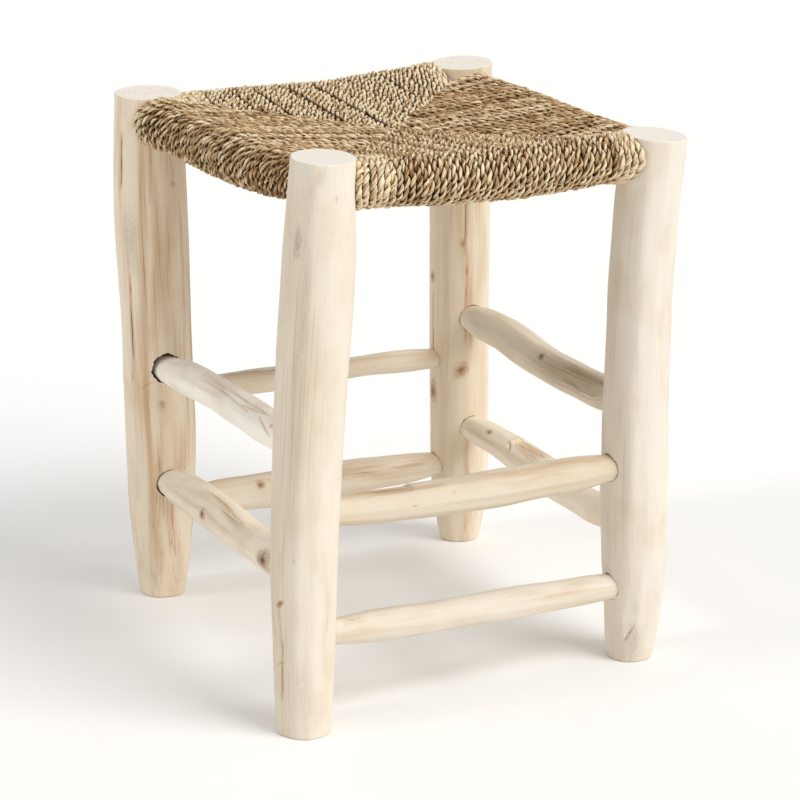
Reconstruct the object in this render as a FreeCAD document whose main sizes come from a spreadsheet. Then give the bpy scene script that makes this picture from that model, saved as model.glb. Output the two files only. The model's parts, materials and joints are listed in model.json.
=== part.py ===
import FreeCAD, Part
import math
import os
import Sketcher

# Low stool with four peeled pole legs, eight whittled stretchers and a cord seat that is
# woven round four hidden rails in four triangles. Lengths are in millimetres. The front
# side faces -Y, the floor is Z = 0 and the origin is below the middle of the whole stool.
# Sides are named as seen by a person who stands in front of the stool.

Vector = FreeCAD.Vector

# Sizes of the whole stool and the fits that every joint shares.
SHARED = {
    "leg_spacing_x": 304.0,
    "leg_spacing_y": 304.0,
    "seat_height": 426.0,
    "seat_centre_rise": 8.0,
    "seat_centre_thickness": 13.0,
    "cord_diameter": 5.3,
    "tenon_depth": 16.0,
    "tenon_proud": 2.0,
    "joint_clearance": 0.3,
    "mortise_end_gap": 0.5,
    "seat_clearance": 0.4,
    "sole_bevel": 2.5,
    "top_bevel": 0.8,
    "cut_overrun": 12.0,
    "leg_flats": 18,
    "cross_piece_flats": 14,
}

# Each leg: how far its top rises over the seat height, its diameters from the sole up, the
# length of its knife-cut foot taper, how far its foot stands from its top in plan, and how
# far it bows in plan.
LEGS = {
    "leg_front_left": dict(
        top_rise=32.0, sole=42.0, ankle=49.5, shin=52.4, waist=55.6, belly=57.0, top=50.5,
        foot_taper=70.0, splay_x=-24.5, splay_y=-12.7, bow_x=-3.7, bow_y=2.1),
    "leg_front_right": dict(
        top_rise=16.0, sole=39.0, ankle=51.5, shin=55.0, waist=53.3, belly=52.8, top=52.8,
        foot_taper=60.0, splay_x=-16.8, splay_y=-5.5, bow_x=-4.3, bow_y=2.5),
    "leg_back_right": dict(
        top_rise=20.0, sole=35.0, ankle=50.0, shin=52.6, waist=53.0, belly=53.8, top=53.2,
        foot_taper=50.0, splay_x=7.6, splay_y=11.4, bow_x=-0.9, bow_y=0.5),
    "leg_back_left": dict(
        top_rise=25.0, sole=38.5, ankle=55.0, shin=58.8, waist=58.9, belly=61.3, top=54.6,
        foot_taper=75.0, splay_x=12.3, splay_y=18.5, bow_x=1.7, bow_y=-1.0),
}

# Which quarter of the plan each leg stands in.
LEG_QUARTERS = {
    "leg_front_left": (-1, -1),
    "leg_front_right": (1, -1),
    "leg_back_right": (1, 1),
    "leg_back_left": (-1, 1),
}

# Heights of a leg's sections: the instep is a share of the foot taper, the rest of height.
INSTEP_HEIGHT_SHARE = 0.4
INSTEP_GIRTH_SHARE = 0.55
SHIN_HEIGHT_SHARE = 0.27
WAIST_HEIGHT_SHARE = 0.55
BELLY_HEIGHT_SHARE = 0.8

# How much of its bow each leg has at its instep, ankle, shin, waist and belly.
BOW_SHARES = {
    "leg_front_left": (0.25, 0.55, 1.0, 0.98, 0.3),
    "leg_front_right": (-0.05, -0.1, 0.35, 1.0, 0.95),
    "leg_back_right": (0.1, 0.3, 0.6, 1.0, 0.6),
    "leg_back_left": (0.2, 0.5, 1.0, 0.6, -0.3),
}

# Each stretcher goes from one leg to the next, round the stool: the height of its axis at
# each leg, its greatest diameter, the diameter of its tenons and how far it bends up.
STRETCHERS = {
    "stretcher_front_upper": dict(
        height_start=176.0, height_end=166.0, girth=29.4, tenon=22.0, lift=-2.2),
    "stretcher_front_lower": dict(
        height_start=78.0, height_end=63.0, girth=26.0, tenon=21.0, lift=-1.4),
    "stretcher_right_upper": dict(
        height_start=213.0, height_end=218.0, girth=30.6, tenon=23.0, lift=-3.7),
    "stretcher_right_lower": dict(
        height_start=110.0, height_end=114.0, girth=30.8, tenon=21.0, lift=-2.7),
    "stretcher_back_upper": dict(
        height_start=176.0, height_end=184.0, girth=21.0, tenon=16.5, lift=1.8),
    "stretcher_back_lower": dict(
        height_start=74.5, height_end=82.0, girth=31.6, tenon=20.0, lift=-1.0),
    "stretcher_left_upper": dict(
        height_start=212.0, height_end=230.0, girth=28.8, tenon=23.0, lift=3.5),
    "stretcher_left_lower": dict(
        height_start=109.0, height_end=127.5, girth=33.0, tenon=24.0, lift=2.1),
}

# Each seat rail is the same, but its ends are placed by how far they rise over the seat height.
SEAT_RAILS = {
    "seat_rail_front": dict(
        rise_start=8.0, rise_end=-1.5, girth=31.6, tenon=16.0, lift=-4.0),
    "seat_rail_right": dict(
        rise_start=-6.5, rise_end=-4.0, girth=31.0, tenon=16.0, lift=-1.0),
    "seat_rail_back": dict(
        rise_start=2.5, rise_end=0.5, girth=30.6, tenon=16.0, lift=-3.5),
    "seat_rail_left": dict(
        rise_start=1.5, rise_end=5.0, girth=31.2, tenon=16.0, lift=-2.0),
}

CROSS_PIECES = {**STRETCHERS, **SEAT_RAILS}

# The legs that carry each side's cross pieces, in the order of the sides round the stool.
SIDES = {
    "front": ("leg_front_left", "leg_front_right"),
    "right": ("leg_front_right", "leg_back_right"),
    "back": ("leg_back_right", "leg_back_left"),
    "left": ("leg_back_left", "leg_front_left"),
}

# Places of a cross piece's sections as shares of its clear length between the two legs,
# and at each place the share of its greatest diameter and the share of its bend.
STATION_SHARES = (0.09, 0.24, 0.42, 0.6, 0.78, 0.92)
FORM_SHARES = {
    "stretcher_front_upper": ((0.85, 0.93, 0.98, 1.0, 0.95, 0.88), (0.3, 0.8, 1.0, 1.0, 0.6, 0.2)),
    "stretcher_front_lower": ((0.95, 1.0, 0.95, 0.98, 0.94, 0.88), (0.3, 0.9, 1.0, 0.5, 0.2, 0.1)),
    "stretcher_right_upper": ((0.93, 0.93, 0.95, 1.0, 0.98, 0.92), (0.3, 0.7, 1.0, 0.3, -0.5, -0.3)),
    "stretcher_right_lower": ((0.87, 0.86, 1.0, 0.94, 0.83, 0.78), (0.5, 1.0, 0.3, -0.5, -0.8, -0.4)),
    "stretcher_back_upper": ((0.88, 0.88, 0.86, 0.95, 1.0, 0.93), (0.4, 1.0, 0.5, 0.1, 0.2, 0.1)),
    "stretcher_back_lower": ((0.8, 0.9, 1.0, 1.0, 0.95, 0.86), (0.2, 0.4, 0.8, 1.0, 0.9, 0.3)),
    "stretcher_left_upper": ((0.9, 0.94, 0.95, 0.98, 1.0, 0.95), (0.4, 0.9, 1.0, 0.6, 0.1, 0.0)),
    "stretcher_left_lower": ((0.9, 0.98, 1.0, 0.99, 0.95, 0.9), (0.6, 1.0, 0.7, 0.2, 0.0, 0.0)),
    "seat_rail_front": ((0.88, 0.93, 0.98, 1.0, 0.94, 0.87), (0.2, 0.7, 1.0, 1.0, 0.5, 0.1)),
    "seat_rail_right": ((0.87, 0.94, 1.0, 1.0, 0.94, 0.87), (0.2, 0.6, 1.0, 1.0, 0.6, 0.2)),
    "seat_rail_back": ((0.88, 0.94, 1.0, 1.0, 0.95, 0.88), (0.2, 0.7, 1.0, 1.0, 0.7, 0.2)),
    "seat_rail_left": ((0.88, 0.95, 1.0, 1.0, 0.95, 0.9), (0.2, 0.6, 1.0, 1.0, 0.6, 0.2)),
}

# Share by which the mitre wedges of the seat reach past the legs, and how far up and down
# the roll round a rail the two layers of the seat start, as a share of the roll's radius.
MITRE_REACH_SHARE = 1.4
LAYER_START_SHARE = 0.97

document = FreeCAD.newDocument("kursi_stool")
sheet = document.addObject("Spreadsheet::Sheet", "Sizes")


def fill_sheet():
    """Write every driving size to its own named cell."""
    sizes = dict(SHARED)
    for table in (LEGS, CROSS_PIECES):
        for piece, values in table.items():
            for name, value in values.items():
                sizes[f"{piece}_{name}"] = value
    for piece, (girth_shares, lift_shares) in FORM_SHARES.items():
        for index, share in enumerate(girth_shares):
            sizes[f"{piece}_girth_share_{index}"] = share
        for index, share in enumerate(lift_shares):
            sizes[f"{piece}_lift_share_{index}"] = share
    sizes["instep_girth_share"] = INSTEP_GIRTH_SHARE
    sizes["layer_start_share"] = LAYER_START_SHARE
    for row, (name, value) in enumerate(sizes.items(), start=1):
        sheet.set(f"A{row}", name)
        sheet.set(f"B{row}", str(value))
        sheet.setAlias(f"B{row}", name)
    document.recompute()


def size(name):
    """Read one size from its cell."""
    return float(sheet.get(name))


def between(value, places, amounts):
    """Read an amount that runs straight from each of the rising places to the next."""
    for low, high, first, last in zip(places, places[1:], amounts, amounts[1:]):
        if value <= high:
            return first + (last - first) * (value - low) / (high - low)
    return amounts[-1]


def leg_height(leg):
    """Give the height of a leg's top."""
    return size("seat_height") + size(f"{leg}_top_rise")


def leg_heights(leg):
    """Give the heights of a leg's sections, from its sole to its top."""
    height = leg_height(leg)
    taper = size(f"{leg}_foot_taper")
    return [0.0, taper * INSTEP_HEIGHT_SHARE, taper, height * SHIN_HEIGHT_SHARE,
            height * WAIST_HEIGHT_SHARE, height * BELLY_HEIGHT_SHARE, height]


def leg_girths(leg):
    """Give the expression for the diameter of each of a leg's sections."""
    sole = f"Sizes.{leg}_sole"
    ankle = f"Sizes.{leg}_ankle"
    instep = f"{sole} + ({ankle} - {sole}) * Sizes.instep_girth_share"
    upper = [f"Sizes.{leg}_{name}" for name in ("shin", "waist", "belly", "top")]
    return [sole, instep, ankle] + upper


def leg_diameter(leg, height):
    """Work out a leg's diameter at a height."""
    sole = size(f"{leg}_sole")
    ankle = size(f"{leg}_ankle")
    upper = [size(f"{leg}_{name}") for name in ("shin", "waist", "belly", "top")]
    diameters = [sole, sole + (ankle - sole) * INSTEP_GIRTH_SHARE, ankle] + upper
    return between(height, leg_heights(leg), diameters)


def leg_axis(leg, height):
    """Find the middle of a leg at a height."""
    side_x, side_y = LEG_QUARTERS[leg]
    below_top = 1.0 - height / leg_height(leg)
    bow = between(height, leg_heights(leg), (0.0,) + BOW_SHARES[leg] + (0.0,))
    x = side_x * size("leg_spacing_x") / 2.0 + size(f"{leg}_splay_x") * below_top
    y = side_y * size("leg_spacing_y") / 2.0 + size(f"{leg}_splay_y") * below_top
    return Vector(x + size(f"{leg}_bow_x") * bow, y + size(f"{leg}_bow_y") * bow, height)


def cross_piece_legs(piece):
    """Find the two legs that carry a cross piece, from the side in its name."""
    for side, legs in SIDES.items():
        if f"_{side}" in piece:
            return legs
    raise ValueError(piece)


def end_heights(piece):
    """Give the heights of a cross piece's axis at its two legs."""
    if piece in STRETCHERS:
        return size(f"{piece}_height_start"), size(f"{piece}_height_end")
    seat = size("seat_height")
    return seat + size(f"{piece}_rise_start"), seat + size(f"{piece}_rise_end")


def cross_piece_frame(piece):
    """Place a cross piece: Z along it from leg to leg, X up and Y out of the stool."""
    start, end = (leg_axis(*place) for place in zip(cross_piece_legs(piece), end_heights(piece)))
    along = end - start
    outward = along.cross(Vector(0, 0, 1))
    rotation = FreeCAD.Rotation(outward.cross(along), outward, along, "ZYX")
    return FreeCAD.Placement(start, rotation), along.Length


def clear_stretch(piece):
    """Give the two places along a cross piece where it leaves the legs' surfaces."""
    start, end = (leg_diameter(*place) / 2.0
                  for place in zip(cross_piece_legs(piece), end_heights(piece)))
    return start, cross_piece_frame(piece)[1] - end


def moved(x, y, z):
    """Give the placement of a straight move."""
    return FreeCAD.Placement(Vector(x, y, z), FreeCAD.Rotation())


def pole_section(name, placement, diameter, flats):
    """Draw a pole's section: a drawknife dresses the pole to a number of equal long flats."""
    section = document.addObject("Part::RegularPolygon", name)
    section.setExpression("Polygon", f"Sizes.{flats}")
    section.setExpression("Circumradius", f"({diameter}) / 2")
    section.Placement = placement
    return section


def loft(name, sections):
    """Run a skin through a list of sections, with straight strokes from each to the next."""
    skin = document.addObject("Part::Loft", name)
    skin.Sections = sections
    skin.Solid = True
    skin.Ruled = True
    return skin


def joined(name, shapes):
    """Join shapes that meet face to face into one solid."""
    solid = document.addObject("Part::MultiFuse", name)
    solid.Shapes = shapes
    solid.Refine = False
    return solid


def cut_away(name, base, spaces):
    """Cut spaces from a base, one after the other."""
    for index, space in enumerate(spaces):
        cut = document.addObject("Part::Cut", f"{name}_cut_{index}")
        cut.Base = base
        cut.Tool = space
        cut.Refine = False
        base = cut
    return base


def leg_section(leg, name, height, diameter):
    """Draw one of a leg's sections at a height."""
    return pole_section(f"{leg}_{name}", moved(*leg_axis(leg, height)), diameter, "leg_flats")


def leg_pole(leg, name, margin):
    """Loft a leg's bowed pole, wider than the leg by an expression; give it and its ends."""
    heights = leg_heights(leg)
    heights[0] += size("sole_bevel")
    heights[-1] -= size("top_bevel")
    sections = []
    for index, (height, girth) in enumerate(zip(heights, leg_girths(leg))):
        sections.append(leg_section(leg, f"{name}_section_{index}", height, girth + margin))
    return loft(f"{leg}_{name}", sections), sections[0], sections[-1]


def make_leg(leg):
    """Make one leg: a bowed pole with a whittled foot, a sawn top and its mortises."""
    pole, sole, top = leg_pole(leg, "pole", "")
    sole_rim = leg_section(leg, "sole_rim", 0.0, f"Sizes.{leg}_sole - 2 * Sizes.sole_bevel")
    top_rim = leg_section(leg, "top_rim", leg_height(leg), f"Sizes.{leg}_top - 2 * Sizes.top_bevel")
    bevels = [loft(f"{leg}_sole_bevel", [sole_rim, sole]), loft(f"{leg}_top_bevel", [top, top_rim])]
    whole = joined(f"{leg}_whole", [pole, *bevels])
    pieces = [piece for piece in CROSS_PIECES if leg in cross_piece_legs(piece)]
    finished = cut_away(leg, whole, [make_mortise(leg, piece) for piece in pieces])
    finished.Label = leg
    return finished


def make_mortise(leg, piece):
    """Make the blind hole in a leg that holds one end of a cross piece, as a space to cut."""
    placement = cross_piece_frame(piece)[0]
    start, end = clear_stretch(piece)
    if leg == cross_piece_legs(piece)[0]:
        base = start - size("tenon_depth") - size("mortise_end_gap")
    else:
        base = end - size("cut_overrun")
    bore = document.addObject("Part::Cylinder", f"{leg}_{piece}_mortise")
    bore.setExpression("Radius", f"Sizes.{piece}_tenon / 2 + Sizes.joint_clearance")
    bore.setExpression("Height", "Sizes.tenon_depth + Sizes.mortise_end_gap + Sizes.cut_overrun")
    bore.Placement = placement.multiply(moved(0, 0, base))
    return bore


def station_places(piece):
    """Give the places of a cross piece's sections along it."""
    start, end = clear_stretch(piece)
    return [start + (end - start) * share for share in STATION_SHARES]


def station_lifts(piece):
    """Give how far each section of a cross piece stands above its straight line."""
    lift = size(f"{piece}_lift")
    return [lift * size(f"{piece}_lift_share_{index}") for index in range(len(STATION_SHARES))]


def station_girth(piece, index):
    """Give the expression for the diameter of one section of a cross piece."""
    return f"Sizes.{piece}_girth * Sizes.{piece}_girth_share_{index}"


def cross_section(piece, name, place, lift, diameter):
    """Draw one of a cross piece's sections at a place along it."""
    placement = cross_piece_frame(piece)[0].multiply(moved(lift, 0, place))
    return pole_section(f"{piece}_{name}", placement, diameter, "cross_piece_flats")


def cross_piece_pole(piece, name, margin, tips):
    """Build a cross piece's bent pole, whittled shoulders and straight ends out to two tips.

    Each of them is wider than the piece by an expression, which is empty for the piece itself.
    """
    start, end = clear_stretch(piece)
    roots = (start + size("tenon_proud"), end - size("tenon_proud"))
    places = [tips[0], roots[0], *station_places(piece), roots[1], tips[1]]
    lifts = [0.0, 0.0, *station_lifts(piece), 0.0, 0.0]
    tenon = f"Sizes.{piece}_tenon"
    stations = [station_girth(piece, index) for index in range(len(STATION_SHARES))]
    girths = [tenon, tenon, *stations, tenon, tenon]
    sections = []
    for index, (place, lift, girth) in enumerate(zip(places, lifts, girths)):
        sections.append(cross_section(piece, f"{name}_section_{index}", place, lift, girth + margin))
    stretches = {"start": sections[:2], "shoulder": sections[1:3], "middle": sections[2:-2],
                 "far_shoulder": sections[-3:-1], "end": sections[-2:]}
    lofts = [loft(f"{piece}_{name}_{part}", ends) for part, ends in stretches.items()]
    return joined(f"{piece}_{name}", lofts)


def make_cross_piece(piece):
    """Make a stretcher or rail: a bent pole whittled down to a tenon at each end."""
    start, end = clear_stretch(piece)
    depth = size("tenon_depth")
    finished = cross_piece_pole(piece, "pole", "", (start - depth, end + depth))
    finished.Label = piece
    return finished


def make_seat_rail(side, wedge):
    """Make the rail of one side, whose tenon tips a wedge mitres where they would meet."""
    rail = f"seat_rail_{side}"
    finished = document.addObject("Part::Common", f"{rail}_mitred")
    finished.Base = make_cross_piece(rail)
    finished.Tool = wedge
    finished.Base.Label = f"{rail}_unmitred"
    finished.Label = rail
    return finished


def make_rail_bore(rail):
    """Make the space inside the weave that clears a seat rail, from leg middle to leg middle."""
    length = cross_piece_frame(rail)[1]
    return cross_piece_pole(rail, "bore", " + 2 * Sizes.joint_clearance", (0.0, length))


def roll_radius(rail, index):
    """Give the expression for the radius of the cord that is rolled round a rail's section."""
    return f"({station_girth(rail, index)}) / 2 + Sizes.joint_clearance + Sizes.cord_diameter"


def layer_section(rail, name, place, lift, index):
    """Draw a section of the seat's two layers, which close in from the roll to the middle."""
    frame = cross_piece_frame(rail)[0]
    up, along, outward = (frame.Rotation.multVec(axis) for axis in (
        Vector(1, 0, 0), Vector(0, 0, 1), Vector(0, 1, 0)))
    inward = frame.Base.dot(outward)
    axis_height = frame.Base.z + along.z * place
    top = (size("seat_height") + size("seat_centre_rise") - axis_height) / up.z
    bottom = top - size("seat_centre_thickness") / up.z
    start = size(f"{rail}_girth") / 2.0
    points = [Vector(lift + start, 0, 0), Vector(lift - start, 0, 0),
              Vector(bottom, -inward, 0), Vector(top, -inward, 0)]
    sketch = document.addObject("Sketcher::SketchObject", f"{rail}_{name}")
    sketch.Placement = frame.multiply(moved(0, 0, place))
    sketch.addGeometry([Part.LineSegment(points[i], points[(i + 1) % 4]) for i in range(4)])
    sketch.addGeometry(Part.Point(Vector(lift, 0, 0)), True)
    sketch.addConstraint([Sketcher.Constraint("Coincident", i, 2, (i + 1) % 4, 1) for i in range(4)])
    sketch.addConstraint([
        Sketcher.Constraint("PointOnObject", 4, 1, -1),
        Sketcher.Constraint("DistanceX", -1, 1, 4, 1, lift),
        Sketcher.Constraint("PointOnObject", 0, 1, -1),
        Sketcher.Constraint("Symmetric", 0, 1, 0, 2, 4, 1),
        Sketcher.Constraint("Horizontal", 2),
        Sketcher.Constraint("DistanceY", 3, 1, -1, 1, inward),
        Sketcher.Constraint("DistanceX", -1, 1, 3, 1, top),
        Sketcher.Constraint("DistanceX", 2, 1, 2, 2, top - bottom),
        Sketcher.Constraint("DistanceX", 0, 2, 0, 1, start + start),
    ])
    sketch.renameConstraint(sketch.ConstraintCount - 1, "start")
    reach = f"2 * Sizes.layer_start_share * ({roll_radius(rail, index)})"
    sketch.setExpression("Constraints.start", reach)
    return sketch


def leg_to_leg_stations(rail):
    """List the place, lift and index of a rail's sections, run on to the middles of its legs."""
    indices = list(range(len(STATION_SHARES)))
    indices = indices[:1] + indices + indices[-1:]
    places = [0.0] + station_places(rail) + [cross_piece_frame(rail)[1]]
    lifts = station_lifts(rail)
    return [(place, lifts[index], index) for place, index in zip(places, indices)]


def make_weave_blank(side):
    """Build the weave of one side from leg to leg, before its corners are mitred."""
    rail = f"seat_rail_{side}"
    rolls, layers = [], []
    for number, (place, lift, index) in enumerate(leg_to_leg_stations(rail)):
        diameter = f"2 * ({roll_radius(rail, index)})"
        rolls.append(cross_section(rail, f"roll_section_{number}", place, lift, diameter))
        layers.append(layer_section(rail, f"layer_section_{number}", place, lift, index))
    return joined(f"{rail}_blank", [loft(f"{rail}_roll", rolls), loft(f"{rail}_layers", layers)])


def make_mitre_wedge(side):
    """Make the upright wedge between the seat's two diagonals, which one side keeps within."""
    corners = [LEG_QUARTERS[leg] for leg in SIDES[side]]
    half_x = size("leg_spacing_x") / 2.0 * MITRE_REACH_SHARE
    half_y = size("leg_spacing_y") / 2.0 * MITRE_REACH_SHARE
    out = Vector(corners[0][0] + corners[1][0], corners[0][1] + corners[1][1], 0)
    gap = out.normalize() * size("joint_clearance")
    points = [gap] + [Vector(x * half_x, y * half_y, 0) + gap for x, y in corners]
    sketch = document.addObject("Sketcher::SketchObject", f"mitre_{side}_plan")
    sketch.addGeometry([Part.LineSegment(points[i], points[(i + 1) % 3]) for i in range(3)])
    sketch.addConstraint([Sketcher.Constraint("Coincident", i, 2, (i + 1) % 3, 1) for i in range(3)])
    wedge = document.addObject("Part::Extrusion", f"mitre_{side}_wedge")
    wedge.Base = sketch
    wedge.DirMode = "Custom"
    wedge.Dir = Vector(0, 0, 1)
    wedge.Solid = True
    highest = "; ".join(f"Sizes.{leg}_top_rise" for leg in LEGS)
    wedge.setExpression("LengthFwd", f"Sizes.seat_height + max({highest}) + Sizes.cut_overrun")
    return wedge


def make_collar(leg):
    """Make the space that the weave leaves for a leg, run on above the leg's top."""
    margin = " + 2 * Sizes.seat_clearance"
    pole, _, top = leg_pole(leg, "collar", margin)
    above = moved(0, 0, size("top_bevel") + size("cut_overrun")).multiply(top.Placement)
    crown = pole_section(f"{leg}_crown", above, f"Sizes.{leg}_top{margin}", "leg_flats")
    return joined(f"{leg}_clearance", [pole, loft(f"{leg}_above", [top, crown])])


def make_weave(side, wedge, collars):
    """Make the weave of one side: its blank, mitred, cleared round its rail and legs."""
    weave = document.addObject("Part::Common", f"seat_weave_{side}_mitred")
    weave.Base = make_weave_blank(side)
    weave.Tool = wedge
    spaces = [make_rail_bore(f"seat_rail_{side}")] + [collars[leg] for leg in SIDES[side]]
    finished = cut_away(f"seat_weave_{side}", weave, spaces)
    finished.Label = f"seat_weave_{side}"
    return finished


def centre_on_floor(pieces):
    """Shift every piece so that the origin is on the floor, below the stool's middle."""
    box = FreeCAD.BoundBox()
    for piece in pieces:
        box.add(piece.Shape.optimalBoundingBox(False, False))
    shift = Vector(-box.Center.x, -box.Center.y, -box.ZMin)
    for piece in pieces:
        piece.Placement = moved(*shift).multiply(piece.Placement)
    document.recompute()
    print(f"the middle of the seat is at {shift.x:.3f}, {shift.y:.3f}")
    print(f"the stool measures {box.XLength:.1f} x {box.YLength:.1f} x {box.ZLength:.1f}")


def check(pieces):
    """Stop unless every object was built and every piece is one sound solid."""
    for item in document.Objects:
        if "Invalid" in item.State or "Error" in item.State:
            raise RuntimeError(f"{item.Name} was not built: {item.State}")
    for piece in pieces:
        shape = piece.Shape
        if shape.isNull() or not shape.isValid() or len(shape.Solids) != 1:
            raise RuntimeError(f"{piece.Label} is not one sound solid")


def write(pieces):
    """Write each piece to a file with its own name."""
    os.makedirs("parts", exist_ok=True)
    for piece in pieces:
        piece.Shape.exportStep(f"parts/{piece.Label}.step")


fill_sheet()
stool = [make_leg(leg) for leg in LEGS]
stool += [make_cross_piece(piece) for piece in STRETCHERS]
mitre_wedges = {side: make_mitre_wedge(side) for side in SIDES}
leg_collars = {leg: make_collar(leg) for leg in LEGS}
for side, wedge in mitre_wedges.items():
    stool += [make_seat_rail(side, wedge), make_weave(side, wedge, leg_collars)]
document.recompute()
centre_on_floor(stool)
check(stool)
write(stool)
print(f"{len(stool)} pieces")
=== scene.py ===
"""The looks of a low stool: peeled pole legs, whittled stretchers and a seat of woven cord.

Lengths are in millimetres, as a maker writes them, until a mesh is made, which is in metres.
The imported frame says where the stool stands, and every piece sits on the legs that carry it.
"""

import json
import logging
import math
from abc import ABC, abstractmethod
from collections.abc import Iterable, Sequence
from dataclasses import dataclass, field
from enum import Enum

import bpy
import numpy as np
from mathutils import Euler, Matrix, Vector


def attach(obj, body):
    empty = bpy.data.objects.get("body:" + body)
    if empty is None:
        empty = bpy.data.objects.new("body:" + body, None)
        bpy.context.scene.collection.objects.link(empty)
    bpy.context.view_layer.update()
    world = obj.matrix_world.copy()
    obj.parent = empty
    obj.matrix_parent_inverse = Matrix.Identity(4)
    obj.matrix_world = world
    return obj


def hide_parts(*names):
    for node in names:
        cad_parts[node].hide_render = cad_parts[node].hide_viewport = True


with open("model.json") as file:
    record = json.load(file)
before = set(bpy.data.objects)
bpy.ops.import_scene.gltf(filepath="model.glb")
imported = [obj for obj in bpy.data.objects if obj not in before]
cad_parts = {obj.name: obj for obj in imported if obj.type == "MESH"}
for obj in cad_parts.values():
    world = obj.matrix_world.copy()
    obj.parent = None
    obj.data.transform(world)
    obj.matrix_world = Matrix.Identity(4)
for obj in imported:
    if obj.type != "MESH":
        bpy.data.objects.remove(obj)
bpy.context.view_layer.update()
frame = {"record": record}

Array = np.ndarray
Colour = tuple[float, float, float, float]

METRE = 1000.0
UPWARD = np.array([0.0, 0.0, 1.0])
SHARP_EDGE = math.radians(38.0)
LEAST_FACING = 0.25
FEWEST_STEPS = 8
DRIFT_WAVES = (11.0, 23.0, 47.0)

log = logging.getLogger("kursi_stool")


def paint(code: str) -> Colour:
    """Turn a six-digit colour code into the linear colour that a shader takes.

    Args:
        code: the colour as it looks on a screen, such as "e8dcc8".

    Returns:
        Red, green, blue and full opacity.
    """
    parts = (int(code[i:i + 2], 16) / 255.0 for i in (0, 2, 4))
    linear = (p / 12.92 if p <= 0.04045 else ((p + 0.055) / 1.055) ** 2.4 for p in parts)
    return (*linear, 1.0)


def ease(value: Array | float, low: float = 0.0, high: float = 1.0) -> Array:
    """Rise softly from 0 at a low value to 1 at a high one.

    Args:
        value: the values to read.
        low: where the rise begins.
        high: where it ends.

    Returns:
        The eased amounts.
    """
    share = np.clip((value - low) / (high - low), 0.0, 1.0)
    return share * share * (3.0 - 2.0 * share)


def wrapped(angle: Array) -> Array:
    """Bring angles into the half turn either way of zero."""
    return (angle + math.pi) % math.tau - math.pi


def unit(vector: Array) -> Array:
    """Scale vectors to a length of one."""
    return vector / np.linalg.norm(vector, axis=-1, keepdims=True)


def spoke(angle: Array, first: Array, second: Array) -> Array:
    """Turn from one direction towards another.

    Args:
        angle: how far to turn, in radians.
        first: the direction before any turn.
        second: the direction after a quarter turn.

    Returns:
        A direction for each angle.
    """
    return np.cos(angle)[..., None] * first + np.sin(angle)[..., None] * second


def walk(line: Array) -> Array:
    """Measure a line from its start up to each of its points."""
    return np.concatenate([[0.0], np.cumsum(np.linalg.norm(np.diff(line, axis=0), axis=1))])


def read_line(line: Array, places: Array, at: Array) -> Array:
    """Read a line between its corners.

    Args:
        line: its corners.
        places: how far along the line each corner lies.
        at: how far along to read it.

    Returns:
        The points there.
    """
    return np.stack([np.interp(at, places, column) for column in line.T], axis=-1)


def evenly(line: Array, step: float) -> Array:
    """Put points at even steps along a line.

    Args:
        line: the line's corners.
        step: the distance from point to point, about.

    Returns:
        The new points.
    """
    walked = walk(line)
    at = np.linspace(0.0, walked[-1], max(FEWEST_STEPS, round(walked[-1] / step)))
    return read_line(line, walked, at)


def follow(places: Sequence[float], amounts: Sequence[float], at: Array) -> Array:
    """Read a smooth curve through known amounts.

    Args:
        places: rising places where the amounts are known.
        amounts: the amount at each place.
        at: where to read the curve.

    Returns:
        The amounts there, held steady past both ends.
    """
    places = np.asarray(places, dtype=float)
    amounts = np.asarray(amounts, dtype=float)
    at = np.clip(at, places[0], places[-1])
    slopes = np.gradient(amounts, places)
    low = np.clip(np.searchsorted(places, at) - 1, 0, len(places) - 2)
    span = places[low + 1] - places[low]
    t = (at - places[low]) / span
    start = amounts[low] * (1 + 2 * t) * (1 - t) ** 2 + amounts[low + 1] * t * t * (3 - 2 * t)
    return start + span * (slopes[low] * t * (1 - t) ** 2 - slopes[low + 1] * t * t * (1 - t))


@dataclass(frozen=True)
class Swell:
    """Slow uneven swells round and along a surface that a hand tool has dressed."""

    seed: int
    height: float
    most_round: int = 4
    shortest: float = 60.0
    waves: int = 16

    def at(self, angle: Array, along: Array) -> Array:
        """Add up the swells.

        Args:
            angle: places round the piece, in radians.
            along: places along it.

        Returns:
            How far the surface stands out there.
        """
        random = np.random.default_rng(self.seed)
        total = np.zeros(np.broadcast(angle, along).shape)
        for _ in range(self.waves):
            turns = random.integers(0, self.most_round + 1)
            rate = random.uniform(-1.0, 1.0) * math.tau / self.shortest
            total += np.sin(turns * angle + rate * along + random.uniform(0.0, math.tau))
        return self.height * total / math.sqrt(self.waves)


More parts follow.
